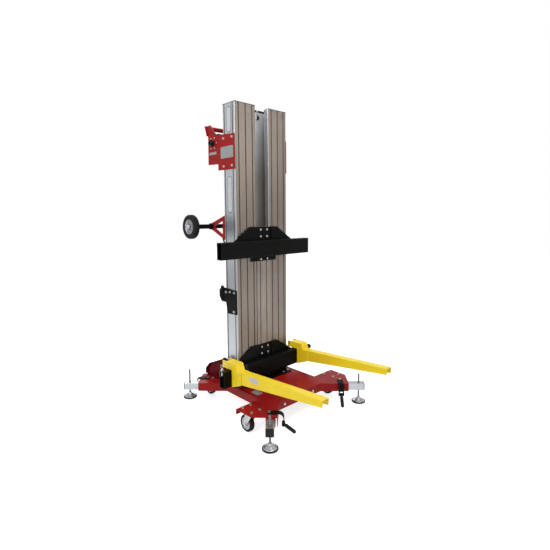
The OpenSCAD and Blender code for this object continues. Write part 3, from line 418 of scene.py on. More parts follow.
def paint(name, colour, shade, bare, rough, radius, wear, sheen):
    """Powder coat on steel: a faint cloud of tone, orange peel and thin worn edges."""
    tree, gloss, place = new_finish(name, {
        "Metallic": 0.0, "IOR": 1.5, "Specular IOR Level": sheen, "Coat Weight": 0.06,
        "Coat Roughness": 0.1})
    tone = add_node(
        tree, "ShaderNodeMix", {"data_type": "RGBA", 6: colour, 7: shade},
        {0: patches(tree, place, 160, 4, 0.3, 0.7)})
    edge, soft = worn_edges(tree, place, radius, wear)
    worn = add_node(
        tree, "ShaderNodeMix", {"data_type": "RGBA", 7: bare}, {0: edge, 6: tone.outputs[2]})
    tree.links.new(worn.outputs[2], gloss.inputs["Base Color"])
    rub = patches(tree, place, 50, 5, 0.3, 0.75, rough - 0.05, rough + 0.1)
    tree.links.new(rub, gloss.inputs["Roughness"])
    # The peel of powder coat is 1 to 2 mm; 3 mm still shows
    peel = add_node(
        tree, "ShaderNodeTexNoise",
        {"Scale": 1000 / 3, "Detail": 2.0, "Roughness": NOISE_FADE}, {"Vector": place})
    relief = add_node(
        tree, "ShaderNodeBump", {"Strength": 0.12, "Distance": 0.0004},
        {"Height": peel.outputs["Fac"], "Normal": soft})
    tree.links.new(relief.outputs[0], gloss.inputs["Normal"])


def extruded_metal(name, colour, shade, rough, radius, stretch=(1, 1, 0.004), front=None,
                   metallic=0.9, film=None):
    """Aluminium profile: satin grey with fine die lines, which stretch draws along the bar.

    front tints the faces towards -Y with a painted reflection and shade, warmer and darker.
    film is painted shade, whole below its first height and gone above its second.
    """
    tree, gloss, place = new_finish(name, {"Metallic": metallic})
    along = add_node(
        tree, "ShaderNodeVectorMath", {"operation": "MULTIPLY", 1: stretch}, {0: place})
    # Real die lines are under 0.5 mm; 3 mm still shows
    lines = add_node(
        tree, "ShaderNodeTexNoise",
        {"Scale": 1000 / 3, "Detail": 4.0, "Roughness": NOISE_FADE},
        {"Vector": along.outputs[0]}).outputs["Fac"]
    cloud = add_node(
        tree, "ShaderNodeTexNoise",
        {"Scale": 1000 / 250, "Detail": 3.0, "Roughness": NOISE_FADE},
        {"Vector": place}).outputs["Fac"]
    both = add_node(
        tree, "ShaderNodeMath", {"operation": "MULTIPLY_ADD", 1: 0.22}, {0: lines, 2: cloud})
    tone = add_node(
        tree, "ShaderNodeMapRange", {"From Min": 0.4, "From Max": 0.85},
        {"Value": both.outputs[0]}).outputs[0]
    metal = add_node(
        tree, "ShaderNodeMix", {"data_type": "RGBA", 6: colour, 7: shade},
        {0: tone}).outputs[2]
    # Painted reflection and shade: faces towards -Y take a warmer, darker tone
    if front:
        facing = add_node(tree, "ShaderNodeNewGeometry").outputs["Normal"]
        depth = add_node(tree, "ShaderNodeSeparateXYZ", links={0: facing}).outputs["Y"]
        ahead = add_node(
            tree, "ShaderNodeMapRange", {"From Min": -0.35, "From Max": -0.9},
            {"Value": depth}).outputs[0]
        warm = add_node(
            tree, "ShaderNodeMix", {"data_type": "RGBA", 6: front, 7: linear("#7D746D")},
            {0: tone}).outputs[2]
        metal = add_node(
            tree, "ShaderNodeMix", {"data_type": "RGBA"},
            {0: ahead, 6: metal, 7: warm}).outputs[2]
    # Painted shade: the colour darkens downwards, whole below the first height
    if film:
        low, high, painted_shade = film
        height = add_node(tree, "ShaderNodeSeparateXYZ", links={0: place}).outputs["Z"]
        amount = add_node(
            tree, "ShaderNodeMapRange", {"From Min": high, "From Max": low},
            {"Value": height}).outputs[0]
        metal = add_node(
            tree, "ShaderNodeMix", {"data_type": "RGBA", 7: painted_shade},
            {0: amount, 6: metal}).outputs[2]
    tree.links.new(metal, gloss.inputs["Base Color"])
    soft = add_node(
        tree, "ShaderNodeBevel", {"samples": BEVEL_RAYS, "Radius": radius}).outputs[0]
    fine_grain(tree, gloss, lines, (rough - 0.03, rough + 0.04), 0.03, 0.0002, soft)


def plated_steel(name, colour, tint, rough):
    """Zinc on steel: bright grey with soft clouds 20 mm wide and spangles of 4 mm."""
    tree, gloss, place = new_finish(name, {"Metallic": 1.0})
    two_tones(tree, gloss, colour, tint, place, 20, 5, 0.35, 0.65)
    spots = add_node(
        tree, "ShaderNodeTexNoise",
        {"Scale": 1000 / 4, "Detail": 4.0, "Roughness": NOISE_FADE},
        {"Vector": place}).outputs["Fac"]
    soft = add_node(
        tree, "ShaderNodeBevel", {"samples": BEVEL_RAYS, "Radius": 0.0008}).outputs[0]
    fine_grain(tree, gloss, spots, (rough - 0.07, rough + 0.12), 0.1, 0.0002, soft)


def moulded(name, colour, shade, rough, grain, strength, sheen=0.22):
    """Moulded plastic or rubber: matt, with a grain of `grain` mm and a little grey dust."""
    # Real grain is a few tenths of a millimetre; it is drawn coarser, so that it shows
    tree, gloss, place = new_finish(
        name, {"Metallic": 0.0, "IOR": 1.5, "Specular IOR Level": sheen})
    two_tones(tree, gloss, colour, shade, place, 30, 6, 0.45, 0.75)
    spots = add_node(
        tree, "ShaderNodeTexNoise",
        {"Scale": 1000 / grain, "Detail": 3.0, "Roughness": NOISE_FADE},
        {"Vector": place}).outputs["Fac"]
    fine_grain(tree, gloss, spots, (rough - 0.08, rough + 0.08), strength, 0.0005)


def label_film(name, colour, shade, rough):
    """Printed film without its print: a plain satin field with finger marks 12 mm wide."""
    tree, gloss, place = new_finish(name, {"Metallic": 0.0, "IOR": 1.45})
    marks = two_tones(tree, gloss, colour, shade, place, 12, 5, 0.4, 0.7)
    rub = add_node(
        tree, "ShaderNodeMapRange", {"To Min": rough, "To Max": rough + 0.12},
        {"Value": marks})
    tree.links.new(rub.outputs[0], gloss.inputs["Roughness"])


def make_finishes(colours, sizes):
    """Builds every material of the hoist."""
    radius = sizes.edge_radius

    # Powder-coated sheet of base and console: even satin red with soft, slightly worn edges
    paint("red powder coat", colours.red, linear("#8E1416"), linear("#6A2222"),
          0.36, radius, 0.4, 0.09)
    # The same coat on the cheeks, which stand in shade: deep wine red with hardly any shine
    paint("shaded red powder coat", linear("#64090F"), linear("#560810"), linear("#481214"),
          0.5, radius, 0.3, 0.02)
    # Powder-coated fork steel: clear warm yellow with a soft shine
    paint("yellow powder coat", colours.yellow, linear("#F2D227"), linear("#D2B034"),
          0.36, radius, 0.5, 0.2)
    # Powder-coated carriage steel: flat, nearly black, with a faint grey edge
    paint("black powder coat", colours.black, linear("#0E0E0E"), linear("#2A2928"),
          0.48, radius, 0.4, 0.05)

    # Anodised mast columns: cool satin grey at the side, and a warm brownish grey in front
    # that is a painted reflection and shade
    extruded_metal("anodised aluminium", colours.aluminium, linear("#A9ADB1"), 0.34, 0.0006,
                   front=linear("#857B73"))
    # Anodised middle section and spine: the same metal, painted paler as it gets less light,
    # with a painted reflection and shade in front
    extruded_metal("inner aluminium", linear("#DADDE0"), linear("#C8CBCE"), 0.42, 0.0006,
                   front=linear("#9A9088"))
    # Inner section: a smooth bright web, painted pale as it gets little light, with painted
    # shade that dulls and darkens it downwards
    extruded_metal("bright aluminium", linear("#CACCCE"), linear("#BCBEC0"), 0.45, 0.0006,
                   metallic=0.4, film=(1.50, 1.84, linear("#938D87")))
    # Mill-finish tube of the stabilisers: plain pale silver with broad soft clouds
    extruded_metal("mill aluminium tube", linear("#B5BBC1"), linear("#9FA4A8"), 0.28, 0.0015,
                   stretch=(0.2, 0.2, 0.2))

    # Zinc-plated bolts, pins and plates: the brightest grey, softly clouded
    plated_steel("zinc plated steel", linear("#C6C9CC"), linear("#ADB0B2"), 0.30)
    # Galvanised pressings of castor forks and feet: bright grey with darker clouds
    plated_steel("galvanised pressing", linear("#B9BCC0"), linear("#96999D"), 0.26)
    # Oiled steel of the threads and the chain: dark dull grey
    plated_steel("threaded steel", linear("#7E8082"), linear("#66686A"), 0.4)
    # Pressed steel rims of the transport wheels: middle grey
    plated_steel("wheel rim steel", linear("#9C9FA2"), linear("#808386"), 0.3)

    # Moulded nylon of knobs, guides, sheaves and caps: satin black
    moulded("moulded black nylon", linear("#111112"), linear("#1A1A1A"), 0.5, 1.5, 0.15)
    # Tyre rubber: flat black, a little dusty
    moulded("tyre rubber", colours.rubber, linear("#1C1B1A"), 0.72, 2, 0.3)
    # Grip rubber: matt black with a fine grain
    moulded("grip rubber", linear("#121212"), linear("#1E1D1C"), 0.6, 1.5, 0.25)
    # Moulded castor rims: light grey with a low shine
    moulded("grey wheel rim", linear("#B9BDC0"), linear("#A6AAAE"), 0.38, 3, 0.1, 0.5)

    # Bare films: silver fields, grey plates and the dark line round the mast's fields
    label_film("silver label film", linear("#C4C7C9"), linear("#B4B7BA"), 0.3)
    label_film("grey label film", linear("#929597"), linear("#85888A"), 0.35)
    label_film("dark label edge", linear("#55585A"), linear("#626568"), 0.35)


# Finish of each part of the frame
NODE_FINISH = {
    "red powder coat": [
        "base_deck", "winch_plate_left", "winch_plate_right", "push_bar", "axle_brackets"],
    "shaded red powder coat": ["cheek_left", "cheek_right"],
    "black powder coat": [
        "upper_beam", "lower_beam", "lock_brackets", "mast_foot_bar", "axle_tube",
        "winch_gearbox", "latch_bracket"],
    "yellow powder coat": ["fork_left", "fork_right"],
    "anodised aluminium": ["mast_column_left", "mast_column_right", "mast_ties"],
    "inner aluminium": ["middle_section", "carriage_spine"],
    "bright aluminium": ["inner_section"],
    "zinc plated steel": [
        "castor_plates", "frame_bolts", "carriage_bolts", "winch_drum", "latch_plunger",
        "beam_pin", "fork_rod_left", "fork_rod_right"],
    "moulded black nylon": [
        "middle_guides", "inner_guides", "mast_sheave", "middle_sheave", "inner_sheave",
        "winch_socket", "fork_knob_left", "fork_knob_right"],
    "mill aluminium tube": [f"stabiliser_{corner}" for corner in CORNERS],
    "galvanised pressing": [f"castor_fork_{corner}" for corner in CORNERS],
}


class HOIST_OT_stage(bpy.types.Operator):
    """Adds the camera, the floor, the reflected card and flag, the sky and the lamps"""

    bl_idname = "hoist.stage"
    bl_label = "Stage"

    def execute(self, context):
        scene = context.scene
        scene.view_settings.view_transform = "Standard"

        camera = bpy.data.cameras.new("camera")
        camera.sensor_width = 36.0
        camera.lens = CAMERA_LENS
        camera.shift_x, camera.shift_y = CAMERA_SHIFT
        camera.clip_end = 60
        seen = bpy.data.objects.new("camera", camera)
        ahead = Vector(CAMERA_AHEAD).normalized()
        right = Vector(CAMERA_RIGHT).normalized()
        up = right.cross(ahead).normalized()
        turn = Matrix((right, up, -ahead)).transposed().to_4x4()
        seen.matrix_world = Matrix.Translation(CAMERA_SPOT) @ turn
        context.collection.objects.link(seen)
        scene.camera = seen

        # White studio floor that keeps a faint shadow
        start_clean()
        bpy.ops.mesh.primitive_plane_add(size=24, location=(0, 0, 0))
        floor = context.object
        floor.name = "floor"
        tree, gloss, _ = new_finish(
            "studio floor", {"Base Color": linear("#E4E4E4"), "Roughness": 0.9})
        lift = add_node(
            tree, "ShaderNodeEmission", {"Color": (1, 1, 1, 1), "Strength": 0.75})
        lifted = add_node(
            tree, "ShaderNodeAddShader", links={0: gloss.outputs[0], 1: lift.outputs[0]})
        self.show_instead(tree, gloss.outputs[0], lifted.outputs[0])
        dress(floor, "studio floor")

        # Warm card in front on the right, which the mast's front reflects
        tree, gloss, _ = new_finish(
            "warm card", {"Base Color": linear("#A0958A"), "Roughness": 1.0})
        glow = add_node(
            tree, "ShaderNodeEmission", {"Color": linear("#C9C2BA"), "Strength": 1.0})
        self.show_instead(tree, gloss.outputs[0], glow.outputs[0])
        card = self.reflected_only("card", "warm card", (4.2, -4.4, 2.9), 7, 5)

        # Dark flag low behind on the left, which the foot of the mast's side reflects
        new_finish("dark flag", {"Base Color": linear("#202020"), "Roughness": 1.0})
        flag = self.reflected_only("flag", "dark flag", (-2.6, 2.5, 0.15), 4, 0.6)

        # Sky: plain grey light, white where it is seen
        world = bpy.data.worlds.new("sky")
        world.use_nodes = True
        scene.world = world
        tree = world.node_tree
        tree.nodes.clear()
        light = add_node(
            tree, "ShaderNodeBackground", {"Color": (1, 1, 1, 1), "Strength": SKY_LIGHT})
        white = add_node(
            tree, "ShaderNodeBackground", {"Color": (1, 1, 1, 1), "Strength": 1.0})
        chosen = add_node(
            tree, "ShaderNodeMixShader",
            links={0: self.seen_rays(tree), 1: light.outputs[0], 2: white.outputs[0]})
        add_node(tree, "ShaderNodeOutputWorld", links={"Surface": chosen.outputs[0]})

        # Key on the left, fill on the right, one above, one behind and a small one that
        # lights the gap at the mast's top
        for name, (spot, size, watts, aim_height) in LAMPS.items():
            lamp = bpy.data.lights.new(name, "AREA")
            lamp.shape = "DISK"
            lamp.size = size
            lamp.energy = watts
            box = bpy.data.objects.new(name, lamp)
            aim = Vector((0, 0, aim_height)) - Vector(spot)
            turn = aim.to_track_quat("-Z", "Y").to_matrix().to_4x4()
            box.matrix_world = Matrix.Translation(spot) @ turn
            context.collection.objects.link(box)
        return {"FINISHED"}

    @staticmethod
    def reflected_only(name, finish, spot, width, height):
        """An upright card, square to the view, that only reflections see."""
        bpy.ops.mesh.primitive_plane_add(size=1)
        card = bpy.context.object
        card.name = name
        heading = Matrix.Rotation(math.radians(CARD_TURN), 4, "Z")
        upright = Matrix.Rotation(math.radians(90), 4, "X")
        size = Matrix.Diagonal((width, height, 1, 1))
        card.data.transform(Matrix.Translation(spot) @ heading @ upright @ size)
        dress(card, finish)
        card.visible_camera = False
        card.visible_shadow = False
        card.visible_diffuse = False
        return card

    @staticmethod
    def seen_rays(tree):
        """1 for camera, glossy and transmission rays."""
        path = add_node(tree, "ShaderNodeLightPath")
        seen = path.outputs["Is Camera Ray"]
        for other in ("Is Glossy Ray", "Is Transmission Ray"):
            seen = add_node(
                tree, "ShaderNodeMath", {"operation": "MAXIMUM"},
                {0: seen, 1: path.outputs[other]}).outputs[0]
        return seen

    def show_instead(self, tree, lit, shown):
        """Shows another shader than the lit one where a surface is seen or reflected."""
        chosen = add_node(
            tree, "ShaderNodeMixShader", links={0: self.seen_rays(tree), 1: lit, 2: shown})
        out = next(n for n in tree.nodes if n.bl_idname == "ShaderNodeOutputMaterial")
        tree.links.new(chosen.outputs[0], out.inputs["Surface"])


class HOIST_OT_finishes(bpy.types.Operator):
    """Makes the materials and gives each part of the frame its own"""

    bl_idname = "hoist.finishes"
    bl_label = "Finishes"

    def execute(self, context):
        make_finishes(context.scene.hoist_colours, context.scene.hoist_sizes)
        for finish, nodes in NODE_FINISH.items():
            for node in nodes:
                dress(NODES[node], finish)
        return {"FINISHED"}


class HOIST_OT_castor_wheels(bpy.types.Operator):
    """Models a castor tyre and its rim and copies them to the four castors"""

    bl_idname = "hoist.castor_wheels"
    bl_label = "Castor wheels"

    def execute(self, context):
        r = CASTOR_RADIUS
        tyre = turned("castor_tyre", mirrored([
            (r - 0.015, 0.0125), (r - 0.013, 0.0148), (r - 0.008, 0.0160),
            (r - 0.004, 0.0152), (r - 0.0012, 0.0120), (r, 0.0060)]), 56, AXIS_X)
        rim = turned("castor_rim", mirrored([
            (0.0041, 0.0180), (0.0105, 0.0180), (0.0125, 0.0165), (0.0130, 0.0110),
            (0.0170, 0.0080), (0.0270, 0.0075), (0.0305, 0.0095), (0.0320, 0.0130),
            (0.0352, 0.0138), (0.0358, 0.0120)]), 48, AXIS_X)
        for corner, (x, y) in CASTOR_SPOTS.items():
            move = Matrix.Translation((x, y + CASTOR_TRAIL, r))
            body = f"castor_wheel_{corner}"
            settle(copied(tyre, f"castor_tyre_{corner}", move),
                   "tyre rubber", body, "tyre_rubber", body)
            settle(copied(rim, f"castor_rim_{corner}", move),
                   "grey wheel rim", body, "black_plastic")
        discard(tyre, rim)
        return {"FINISHED"}


class HOIST_OT_transport_wheels(bpy.types.Operator):
    """Models the pneumatic transport wheels with grooved tyres and pressed rims"""

    bl_idname = "hoist.transport_wheels"
    bl_label = "Transport wheels"

    def execute(self, context):
        cut = context.scene.hoist_sizes.tyre_groove
        half = [(0.0455, 0.0150), (0.0500, 0.0180), (0.0570, 0.0203), (0.0640, 0.0210),
                (0.0700, 0.0200), (0.0745, 0.0170), (0.0765, 0.0135)]
        for groove in (0.0110, 0.0040):
            crown = TRANSPORT_RADIUS - groove * TREAD_FALL
            half += [(crown, groove + 0.0012), (crown - cut, groove + 0.0007),
                     (crown - cut, groove - 0.0007), (crown, groove - 0.0012)]
        half.append((TRANSPORT_RADIUS, 0.0010))
        tyre = turned("transport_tyre", mirrored(half), 72, AXIS_X)
        rim = turned("transport_rim", mirrored([
            (0.0102, 0.0210), (0.0150, 0.0210), (0.0165, 0.0195), (0.0170, 0.0130),
            (0.0200, 0.0085), (0.0260, 0.0070), (0.0330, 0.0072), (0.0380, 0.0100),
            (0.0400, 0.0145), (0.0420, 0.0165), (0.0465, 0.0178), (0.0478, 0.0170),
            (0.0470, 0.0150)]), 64, AXIS_X)
        nuts = []
        for angle in (45, 135, 225, 315):
            spot = Matrix.Rotation(math.radians(angle), 4, "X")
            for side in (1, -1):
                nuts.append(self.rim_nut(spot, side))
        rim = joined("transport_rim", [rim] + nuts)
        out = WHEEL_FACE - TRANSPORT_X
        cap = turned("hub_cap", [
            (0.0, out + 0.0008), (0.0162, out + 0.0008), (0.0162, out + 0.0044),
            (0.0154, out + 0.0060), (0.0132, out + 0.0070), (0.0080, out + 0.0082),
            (0.0, out + 0.0086)], 40, AXIS_X)
        for name, side in (("left", -1), ("right", 1)):
            body = f"transport_wheel_{name}"
            move = Matrix.Translation((side * TRANSPORT_X, TRANSPORT_Y, TRANSPORT_Z))
            outward = Matrix.Diagonal((side, 1, 1, 1))
            settle(copied(tyre, f"transport_tyre_{name}", move),
                   "tyre rubber", body, "tyre_rubber", body)
            settle(copied(rim, f"transport_rim_{name}", move),
                   "wheel rim steel", body, "zinc_steel")
            settle(copied(cap, f"hub_cap_{name}", move @ outward),
                   "zinc plated steel", "frame", "zinc_steel")
        discard(tyre, rim, cap)
        return {"FINISHED"}

    @staticmethod
    def rim_nut(spot, side):
        """One of the small nuts that hold the rim's halves together."""
        nut = turned("nut", [
            (0, 0.0112), (0.0030, 0.0112), (0.0036, 0.0104), (0.0036, 0.0060)], 6, AXIS_X)
        flip = Matrix.Diagonal((side, 1, 1, 1))
        return placed(nut, flip @ spot @ Matrix.Translation((0, NUT_CIRCLE, 0)))


class HOIST_OT_jacks(bpy.types.Operator):
    """Models a jack's dished foot, rubber rim and threaded spindle"""

    bl_idname = "hoist.jacks"
    bl_label = "Jacks"

    def execute(self, context):
        r = FOOT_RADIUS
        dish = turned("jack_foot", [
            (0, 0.002), (0.036, 0.002), (0.0385, 0.0055), (0.0405, 0.0085),
            (0.039, 0.0105), (0.033, 0.0125), (0.025, 0.0165), (0.019, 0.0215),
            (0.015, 0.0245), (0.0125, 0.0265), (0.011, 0.0290), (0.011, 0.0325),
            (0.0098, 0.0340), (0.0, 0.0340)], 56)
        ring = [(r - 0.0065, 0.0040), (r - 0.0060, 0.0005), (r - 0.0040, 0),
                (r - 0.0010, 0.0004), (r, 0.0020), (r, 0.0065), (r - 0.0010, 0.0085),
                (r - 0.0030, 0.0098), (r - 0.0055, 0.0092)]
        rim = turned("jack_rim", ring + ring[:1], 56)
        pitch = context.scene.hoist_sizes.thread_pitch
        root, crest, low = 0.0053, 0.0060, 0.046
        thread = [(0, 0.030), (crest, 0.030), (crest, low - 0.002)]
        while low + pitch < SPINDLE_TOP - 0.004:
            thread += [(root, low), (crest, low + pitch / 2)]
            low += pitch
        thread += [(root, SPINDLE_TOP - 0.003), (0.0048, SPINDLE_TOP - 0.0005),
                   (0.0, SPINDLE_TOP - 0.0005)]
        spindle = turned("jack_spindle", thread, 20)
        for corner in CORNERS:
            body = f"jack_{corner}"
            move = corner_place(corner) @ Matrix.Translation((0, 0, FOOT_REST[corner]))
            settle(copied(dish, f"jack_foot_{corner}", move),
                   "galvanised pressing", body, "zinc_steel", body)
            settle(copied(rim, f"jack_rim_{corner}", move),
                   "tyre rubber", body, "tyre_rubber")
            settle(copied(spindle, f"jack_spindle_{corner}", move),
                   "threaded steel", body, "zinc_steel")
        discard(dish, rim, spindle)
        return {"FINISHED"}


class HOIST_OT_tube_plugs(bpy.types.Operator):
    """Caps the outer end of each stabiliser tube with a black plug"""

    bl_idname = "hoist.tube_plugs"
    bl_label = "Tube plugs"

    def execute(self, context):
        proud = 0.0004
        half = TUBE_SIDE / 2 + proud
        low = (TUBE_NOSE - 0.004, -half, TUBE_BOTTOM - proud)
        high = (TUBE_NOSE + 0.0015, half, TUBE_BOTTOM + TUBE_SIDE + proud)
        plug = block("tube_plug", low, high, 0.0018, 3)
        for corner in CORNERS:
            settle(copied(plug, f"tube_plug_{corner}", corner_place(corner)),
                   "moulded black nylon", f"stabiliser_{corner}", "black_plastic")
        discard(plug)
        return {"FINISHED"}


class HOIST_OT_lock_grips(bpy.types.Operator):
    """Models the ribbed rubber grips of the stabiliser locks and the webs of their straps"""

    bl_idname = "hoist.lock_grips"
    bl_label = "Lock grips"

    def execute(self, context):
        head = turned("grip_head", [
            (0.0042, 0.0095), (0.0088, 0.0095), (0.0099, 0.0084), (0.0099, -0.0084),
            (0.0088, -0.0095), (0.0042, -0.0095), (0.0042, 0.0095)], 36, AXIS_X)
        grip = self.ribbed_sleeve()
        web = self.strap_web()
        for corner in CORNERS:
            settle(copied(web, f"lock_web_{corner}", lock_place(corner)),
                   "black powder coat", "frame", "black_paint")
        for corner in CORNERS:
            tilt = FRONT_GRIP_TILT if CORNERS[corner][1] else 0
            turn = Matrix.Rotation(math.radians(tilt), 4, "X")
            move = lock_place(corner) @ Matrix.Translation(LOCK_HUB) @ turn
            body = f"lock_lever_{corner}"
            settle(copied(grip, f"lock_grip_{corner}", move),
                   "grip rubber", body, "black_plastic", body)
            settle(copied(head, f"lock_head_{corner}", move),
                   "black powder coat", body, "black_paint")
        discard(web, head, grip)
        return {"FINISHED"}

    @staticmethod
    def ribbed_sleeve():
        """The grip: eight ribs between a tapered start and a rounded end."""
        length, ridge, groove = 0.088, 0.0108, 0.0100
        first, pitch, ribs = 0.024, 0.0066, 8
        sleeve = [(0.0, 0.0060), (0.0072, 0.0070), (0.0085, 0.0160), (0.0103, 0.0185),
                  (ridge, 0.0205)]
        for i in range(ribs):
            start = first + i * pitch
            sleeve += [(ridge, start), (groove, start + 0.0013), (groove, start + 0.0026),
                       (ridge, start + 0.0039)]
        sleeve += [(ridge, length - 0.0125), (0.0103, length - 0.0090),
                   (0.0088, length - 0.0054), (0.0062, length - 0.0026),
                   (0.0030, length - 0.0010), (0.0, length - 0.0006)]
        return turned("grip_sleeve", sleeve, 28, (0, -1, 0))

    @staticmethod
    def strap_web():
        """The web that fills the strap's bend and stops above the grip's head."""
        side, radius, bend_y, bend_z, steps = -LOCK_STRAP_HALF, 0.0295, -0.002, 0.119, 8
        spots = [(side, 0.0455, bend_z + radius), (side, bend_y, bend_z + radius)]
        for i in range(1, steps + 1):
            angle = math.radians(90 * i / steps)
            spots.append(
                (side, bend_y - radius * math.sin(angle), bend_z + radius * math.cos(angle)))
        spots.append((side, bend_y - radius, 0.104))
        return strap("lock_web", spots, (2 * LOCK_STRAP_HALF, 0, 0), 0.0044)


class HOIST_OT_column_caps(bpy.types.Operator):
    """Closes the top of each mast column with a thin black cap"""

    bl_idname = "hoist.column_caps"
    bl_label = "Column caps"

    def execute(self, context):
        low, high, proud = MAST_TOP - 0.0036, MAST_TOP - 0.0003, 0.0006
        edge = -MAST_HALF - proud
        front = block("cap_front", (edge, -proud, low), (-COLUMN_INSIDE - 0.0008, 0.030, high),
                      0.0005, 1)
        side = block("cap_side", (edge, 0.029, low),
                     (-MAST_HALF + 0.0036, COLUMN_DEPTH + proud, high), 0.0005, 1)
        cap = joined("column_cap", [front, side])
        for name, flip in (("left", 1), ("right", -1)):
            settle(copied(cap, f"column_cap_{name}", Matrix.Diagonal((flip, 1, 1, 1))),
                   "moulded black nylon", "frame", "black_plastic")
        discard(cap)
        return {"FINISHED"}


class HOIST_OT_pin_chain(bpy.types.Operator):
    """Hangs a short chain from the ring of the beam's pin, over the beam's open end"""

    bl_idname = "hoist.pin_chain"
    bl_label = "Pin chain"

    def execute(self, context):
        link = self.chain_link()
        x, y, z = PIN_RING
        low = z - PIN_RING_OUT
        # From the ring outward over the edge, then straight down; each with its lean
        spots = [(x - 0.002, low + 0.0010, 40), (x - 0.0085, low - 0.0045, 62)]
        pitch, hanging = 0.0078, 5
        spots += [(-BEAM_END - 0.0045, low - 0.012 - pitch * i, 0) for i in range(hanging)]
        links = []
        for i, (place, height, lean) in enumerate(spots):
            leaning = Matrix.Rotation(math.radians(lean), 4, "Y")
            crossed = Matrix.Rotation(math.radians(90 * (i % 2)), 4, "Z")
            move = Matrix.Translation((place, y, height)) @ leaning @ crossed
            links.append(copied(link, f"link_{i}", move))
        discard(link)
        settle(joined("pin_chain", links), "threaded steel", "beam_pin", "zinc_steel")
        return {"FINISHED"}

    @staticmethod
    def chain_link():
        """One oval link of 1.7 mm wire, 11 mm long in Z."""
        stretch = 0.0042
        start_clean()
        bpy.ops.mesh.primitive_torus_add(
            major_radius=0.0026, minor_radius=0.00085, major_segments=20, minor_segments=8,
            rotation=(0, math.radians(90), 0))
        piece = bpy.context.object
        bpy.ops.object.transform_apply(location=True, rotation=True, scale=True)
        for point in piece.data.vertices:
            point.select = point.co.z > 0
        bpy.ops.object.mode_set(mode="EDIT")
        bpy.ops.transform.translate(value=(0, 0, stretch))
        bpy.ops.object.mode_set(mode="OBJECT")
        piece.data.transform(Matrix.Translation((0, 0, -stretch / 2)))
        bpy.ops.object.mode_set(mode="EDIT")
        return close_edit("chain_link")


class HOIST_OT_fittings(bpy.types.Operator):
    """Models the stay behind the mast, the cheek's buffer and the fork's screws"""

    bl_idname = "hoist.fittings"
    bl_label = "Small fittings"

    def execute(self, context):
        line = ((0.158, 1.112), (0.150, 1.092), (0.141, 1.072), (0.134, 1.052),
                (0.1285, 1.030), (0.1275, 1.006), (0.1275, 0.986))
        stay = strap("mast_stay", [(-0.217, y, z) for y, z in line], (0.010, 0, 0), 0.003)
        settle(stay, "black powder coat", "frame", "black_paint")
        buffer = block("cheek_buffer", (-0.263, 0.092, 0.303), (-0.246, 0.115, 0.3185),
                       0.0035, 3)
        settle(buffer, "moulded black nylon", "frame", "black_plastic")
        heads = []
        for y, z in ((-0.128, 0.2925), (-0.150, 0.2900)):
            head = turned("screw", [
                (0, 0.0022), (0.0022, 0.0021), (0.0034, 0.0012), (0.0038, 0.0), (0, 0)],
                20, (-1, 0, 0))
            heads.append(placed(head, Matrix.Translation((FORK_FACE, y, z))))
        settle(joined("fork_screws", heads), "zinc plated steel", "fork_left", "zinc_steel")
        return {"FINISHED"}


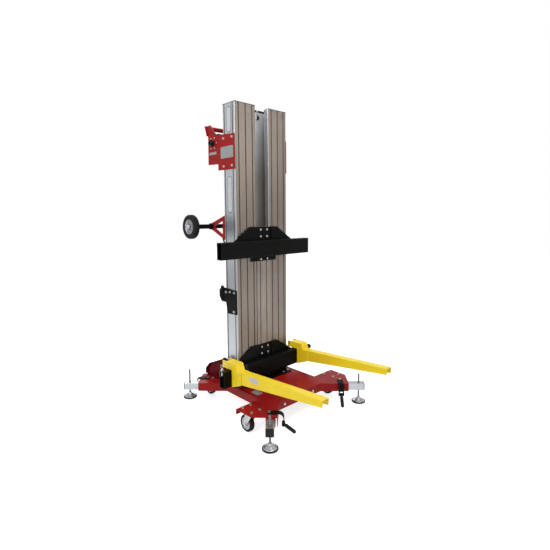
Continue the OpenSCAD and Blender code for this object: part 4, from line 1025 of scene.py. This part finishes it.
class HOIST_OT_labels(bpy.types.Operator):
    """Adds the bare label plates of the mast, the console, the fork and the deck"""

    bl_idname = "hoist.labels"
    bl_label = "Labels"

    def execute(self, context):
        thick = context.scene.hoist_sizes.label_height
        thin = thick * 0.5
        back, up, right, rear = (0, -1, 0), (0, 0, 1), (1, 0, 0), (0, 1, 0)
        field, upper = (-MAST_HALF, 0.062, 1.3775), (-MAST_HALF, 0.062, 1.838)
        silver, grey, dark = "silver label film", "grey label film", "dark label edge"
        # Centre, the two directions in the face, width, height, corner radius, thickness
        rows = (
            ("mast_label_edge", field, back, up, 0.048, 0.229, 0.020, thin, dark, "frame"),
            ("mast_label", field, back, up, 0.040, 0.221, 0.017, thick, silver, "frame"),
            ("mast_label_upper_edge", upper, back, up, 0.048, 0.155, 0.020, thin, dark,
             "frame"),
            ("mast_label_upper", upper, back, up, 0.040, 0.147, 0.017, thick, silver,
             "frame"),
            ("rating_plate", (CONSOLE_FACE, 0.081, 1.642), back, up, 0.128, 0.072, 0.004,
             thick, grey, "frame"),
            ("console_label", (CONSOLE_FACE, 0.232, 1.6495), back, up, 0.082, 0.017, 0.002,
             thick, grey, "frame"),
            ("deck_label", (-0.2005, -0.1535, DECK_TOP), right, rear, 0.045, 0.065, 0.003,
             thick, grey, "frame"),
            ("fork_label", (FORK_FACE + 0.006, -0.262, 0.290), back, up, 0.075, 0.030, 0.003,
             thick, silver, "fork_left"),
        )
        for name, spot, across, rise, width, height, corner, high, finish, body in rows:
            piece = plate(name, spot, across, rise, width, height, corner, high)
            settle(piece, finish, body, "zinc_steel")
        return {"FINISHED"}


class HOIST_PT_panel(bpy.types.Panel):
    """Lists the hoist's pieces"""

    bl_idname = "HOIST_PT_panel"
    bl_label = "Material hoist"
    bl_space_type = "VIEW_3D"
    bl_region_type = "UI"
    bl_category = "Hoist"

    def draw(self, context):
        layout = self.layout
        for group in (context.scene.hoist_colours, context.scene.hoist_sizes):
            box = layout.box()
            for key in group.__annotations__:
                box.prop(group, key)
        for operator in OPERATORS:
            layout.operator(operator.bl_idname)


OPERATORS = (
    HOIST_OT_stage, HOIST_OT_finishes, HOIST_OT_castor_wheels, HOIST_OT_transport_wheels,
    HOIST_OT_jacks, HOIST_OT_tube_plugs, HOIST_OT_lock_grips, HOIST_OT_column_caps,
    HOIST_OT_pin_chain, HOIST_OT_fittings, HOIST_OT_labels,
)
CLASSES = (HOIST_PG_colours, HOIST_PG_sizes, *OPERATORS, HOIST_PT_panel)


def register():
    for cls in CLASSES:
        bpy.utils.register_class(cls)
    bpy.types.Scene.hoist_colours = PointerProperty(type=HOIST_PG_colours)
    bpy.types.Scene.hoist_sizes = PointerProperty(type=HOIST_PG_sizes)


def unregister():
    del bpy.types.Scene.hoist_colours
    del bpy.types.Scene.hoist_sizes
    for cls in reversed(CLASSES):
        bpy.utils.unregister_class(cls)


def main():
    register()
    bpy.ops.hoist.finishes()
    bpy.ops.hoist.stage()
    bpy.ops.hoist.castor_wheels()
    bpy.ops.hoist.transport_wheels()
    bpy.ops.hoist.jacks()
    bpy.ops.hoist.tube_plugs()
    bpy.ops.hoist.lock_grips()
    bpy.ops.hoist.column_caps()
    bpy.ops.hoist.pin_chain()
    bpy.ops.hoist.fittings()
    bpy.ops.hoist.labels()


if __name__ == "__main__":
    main()
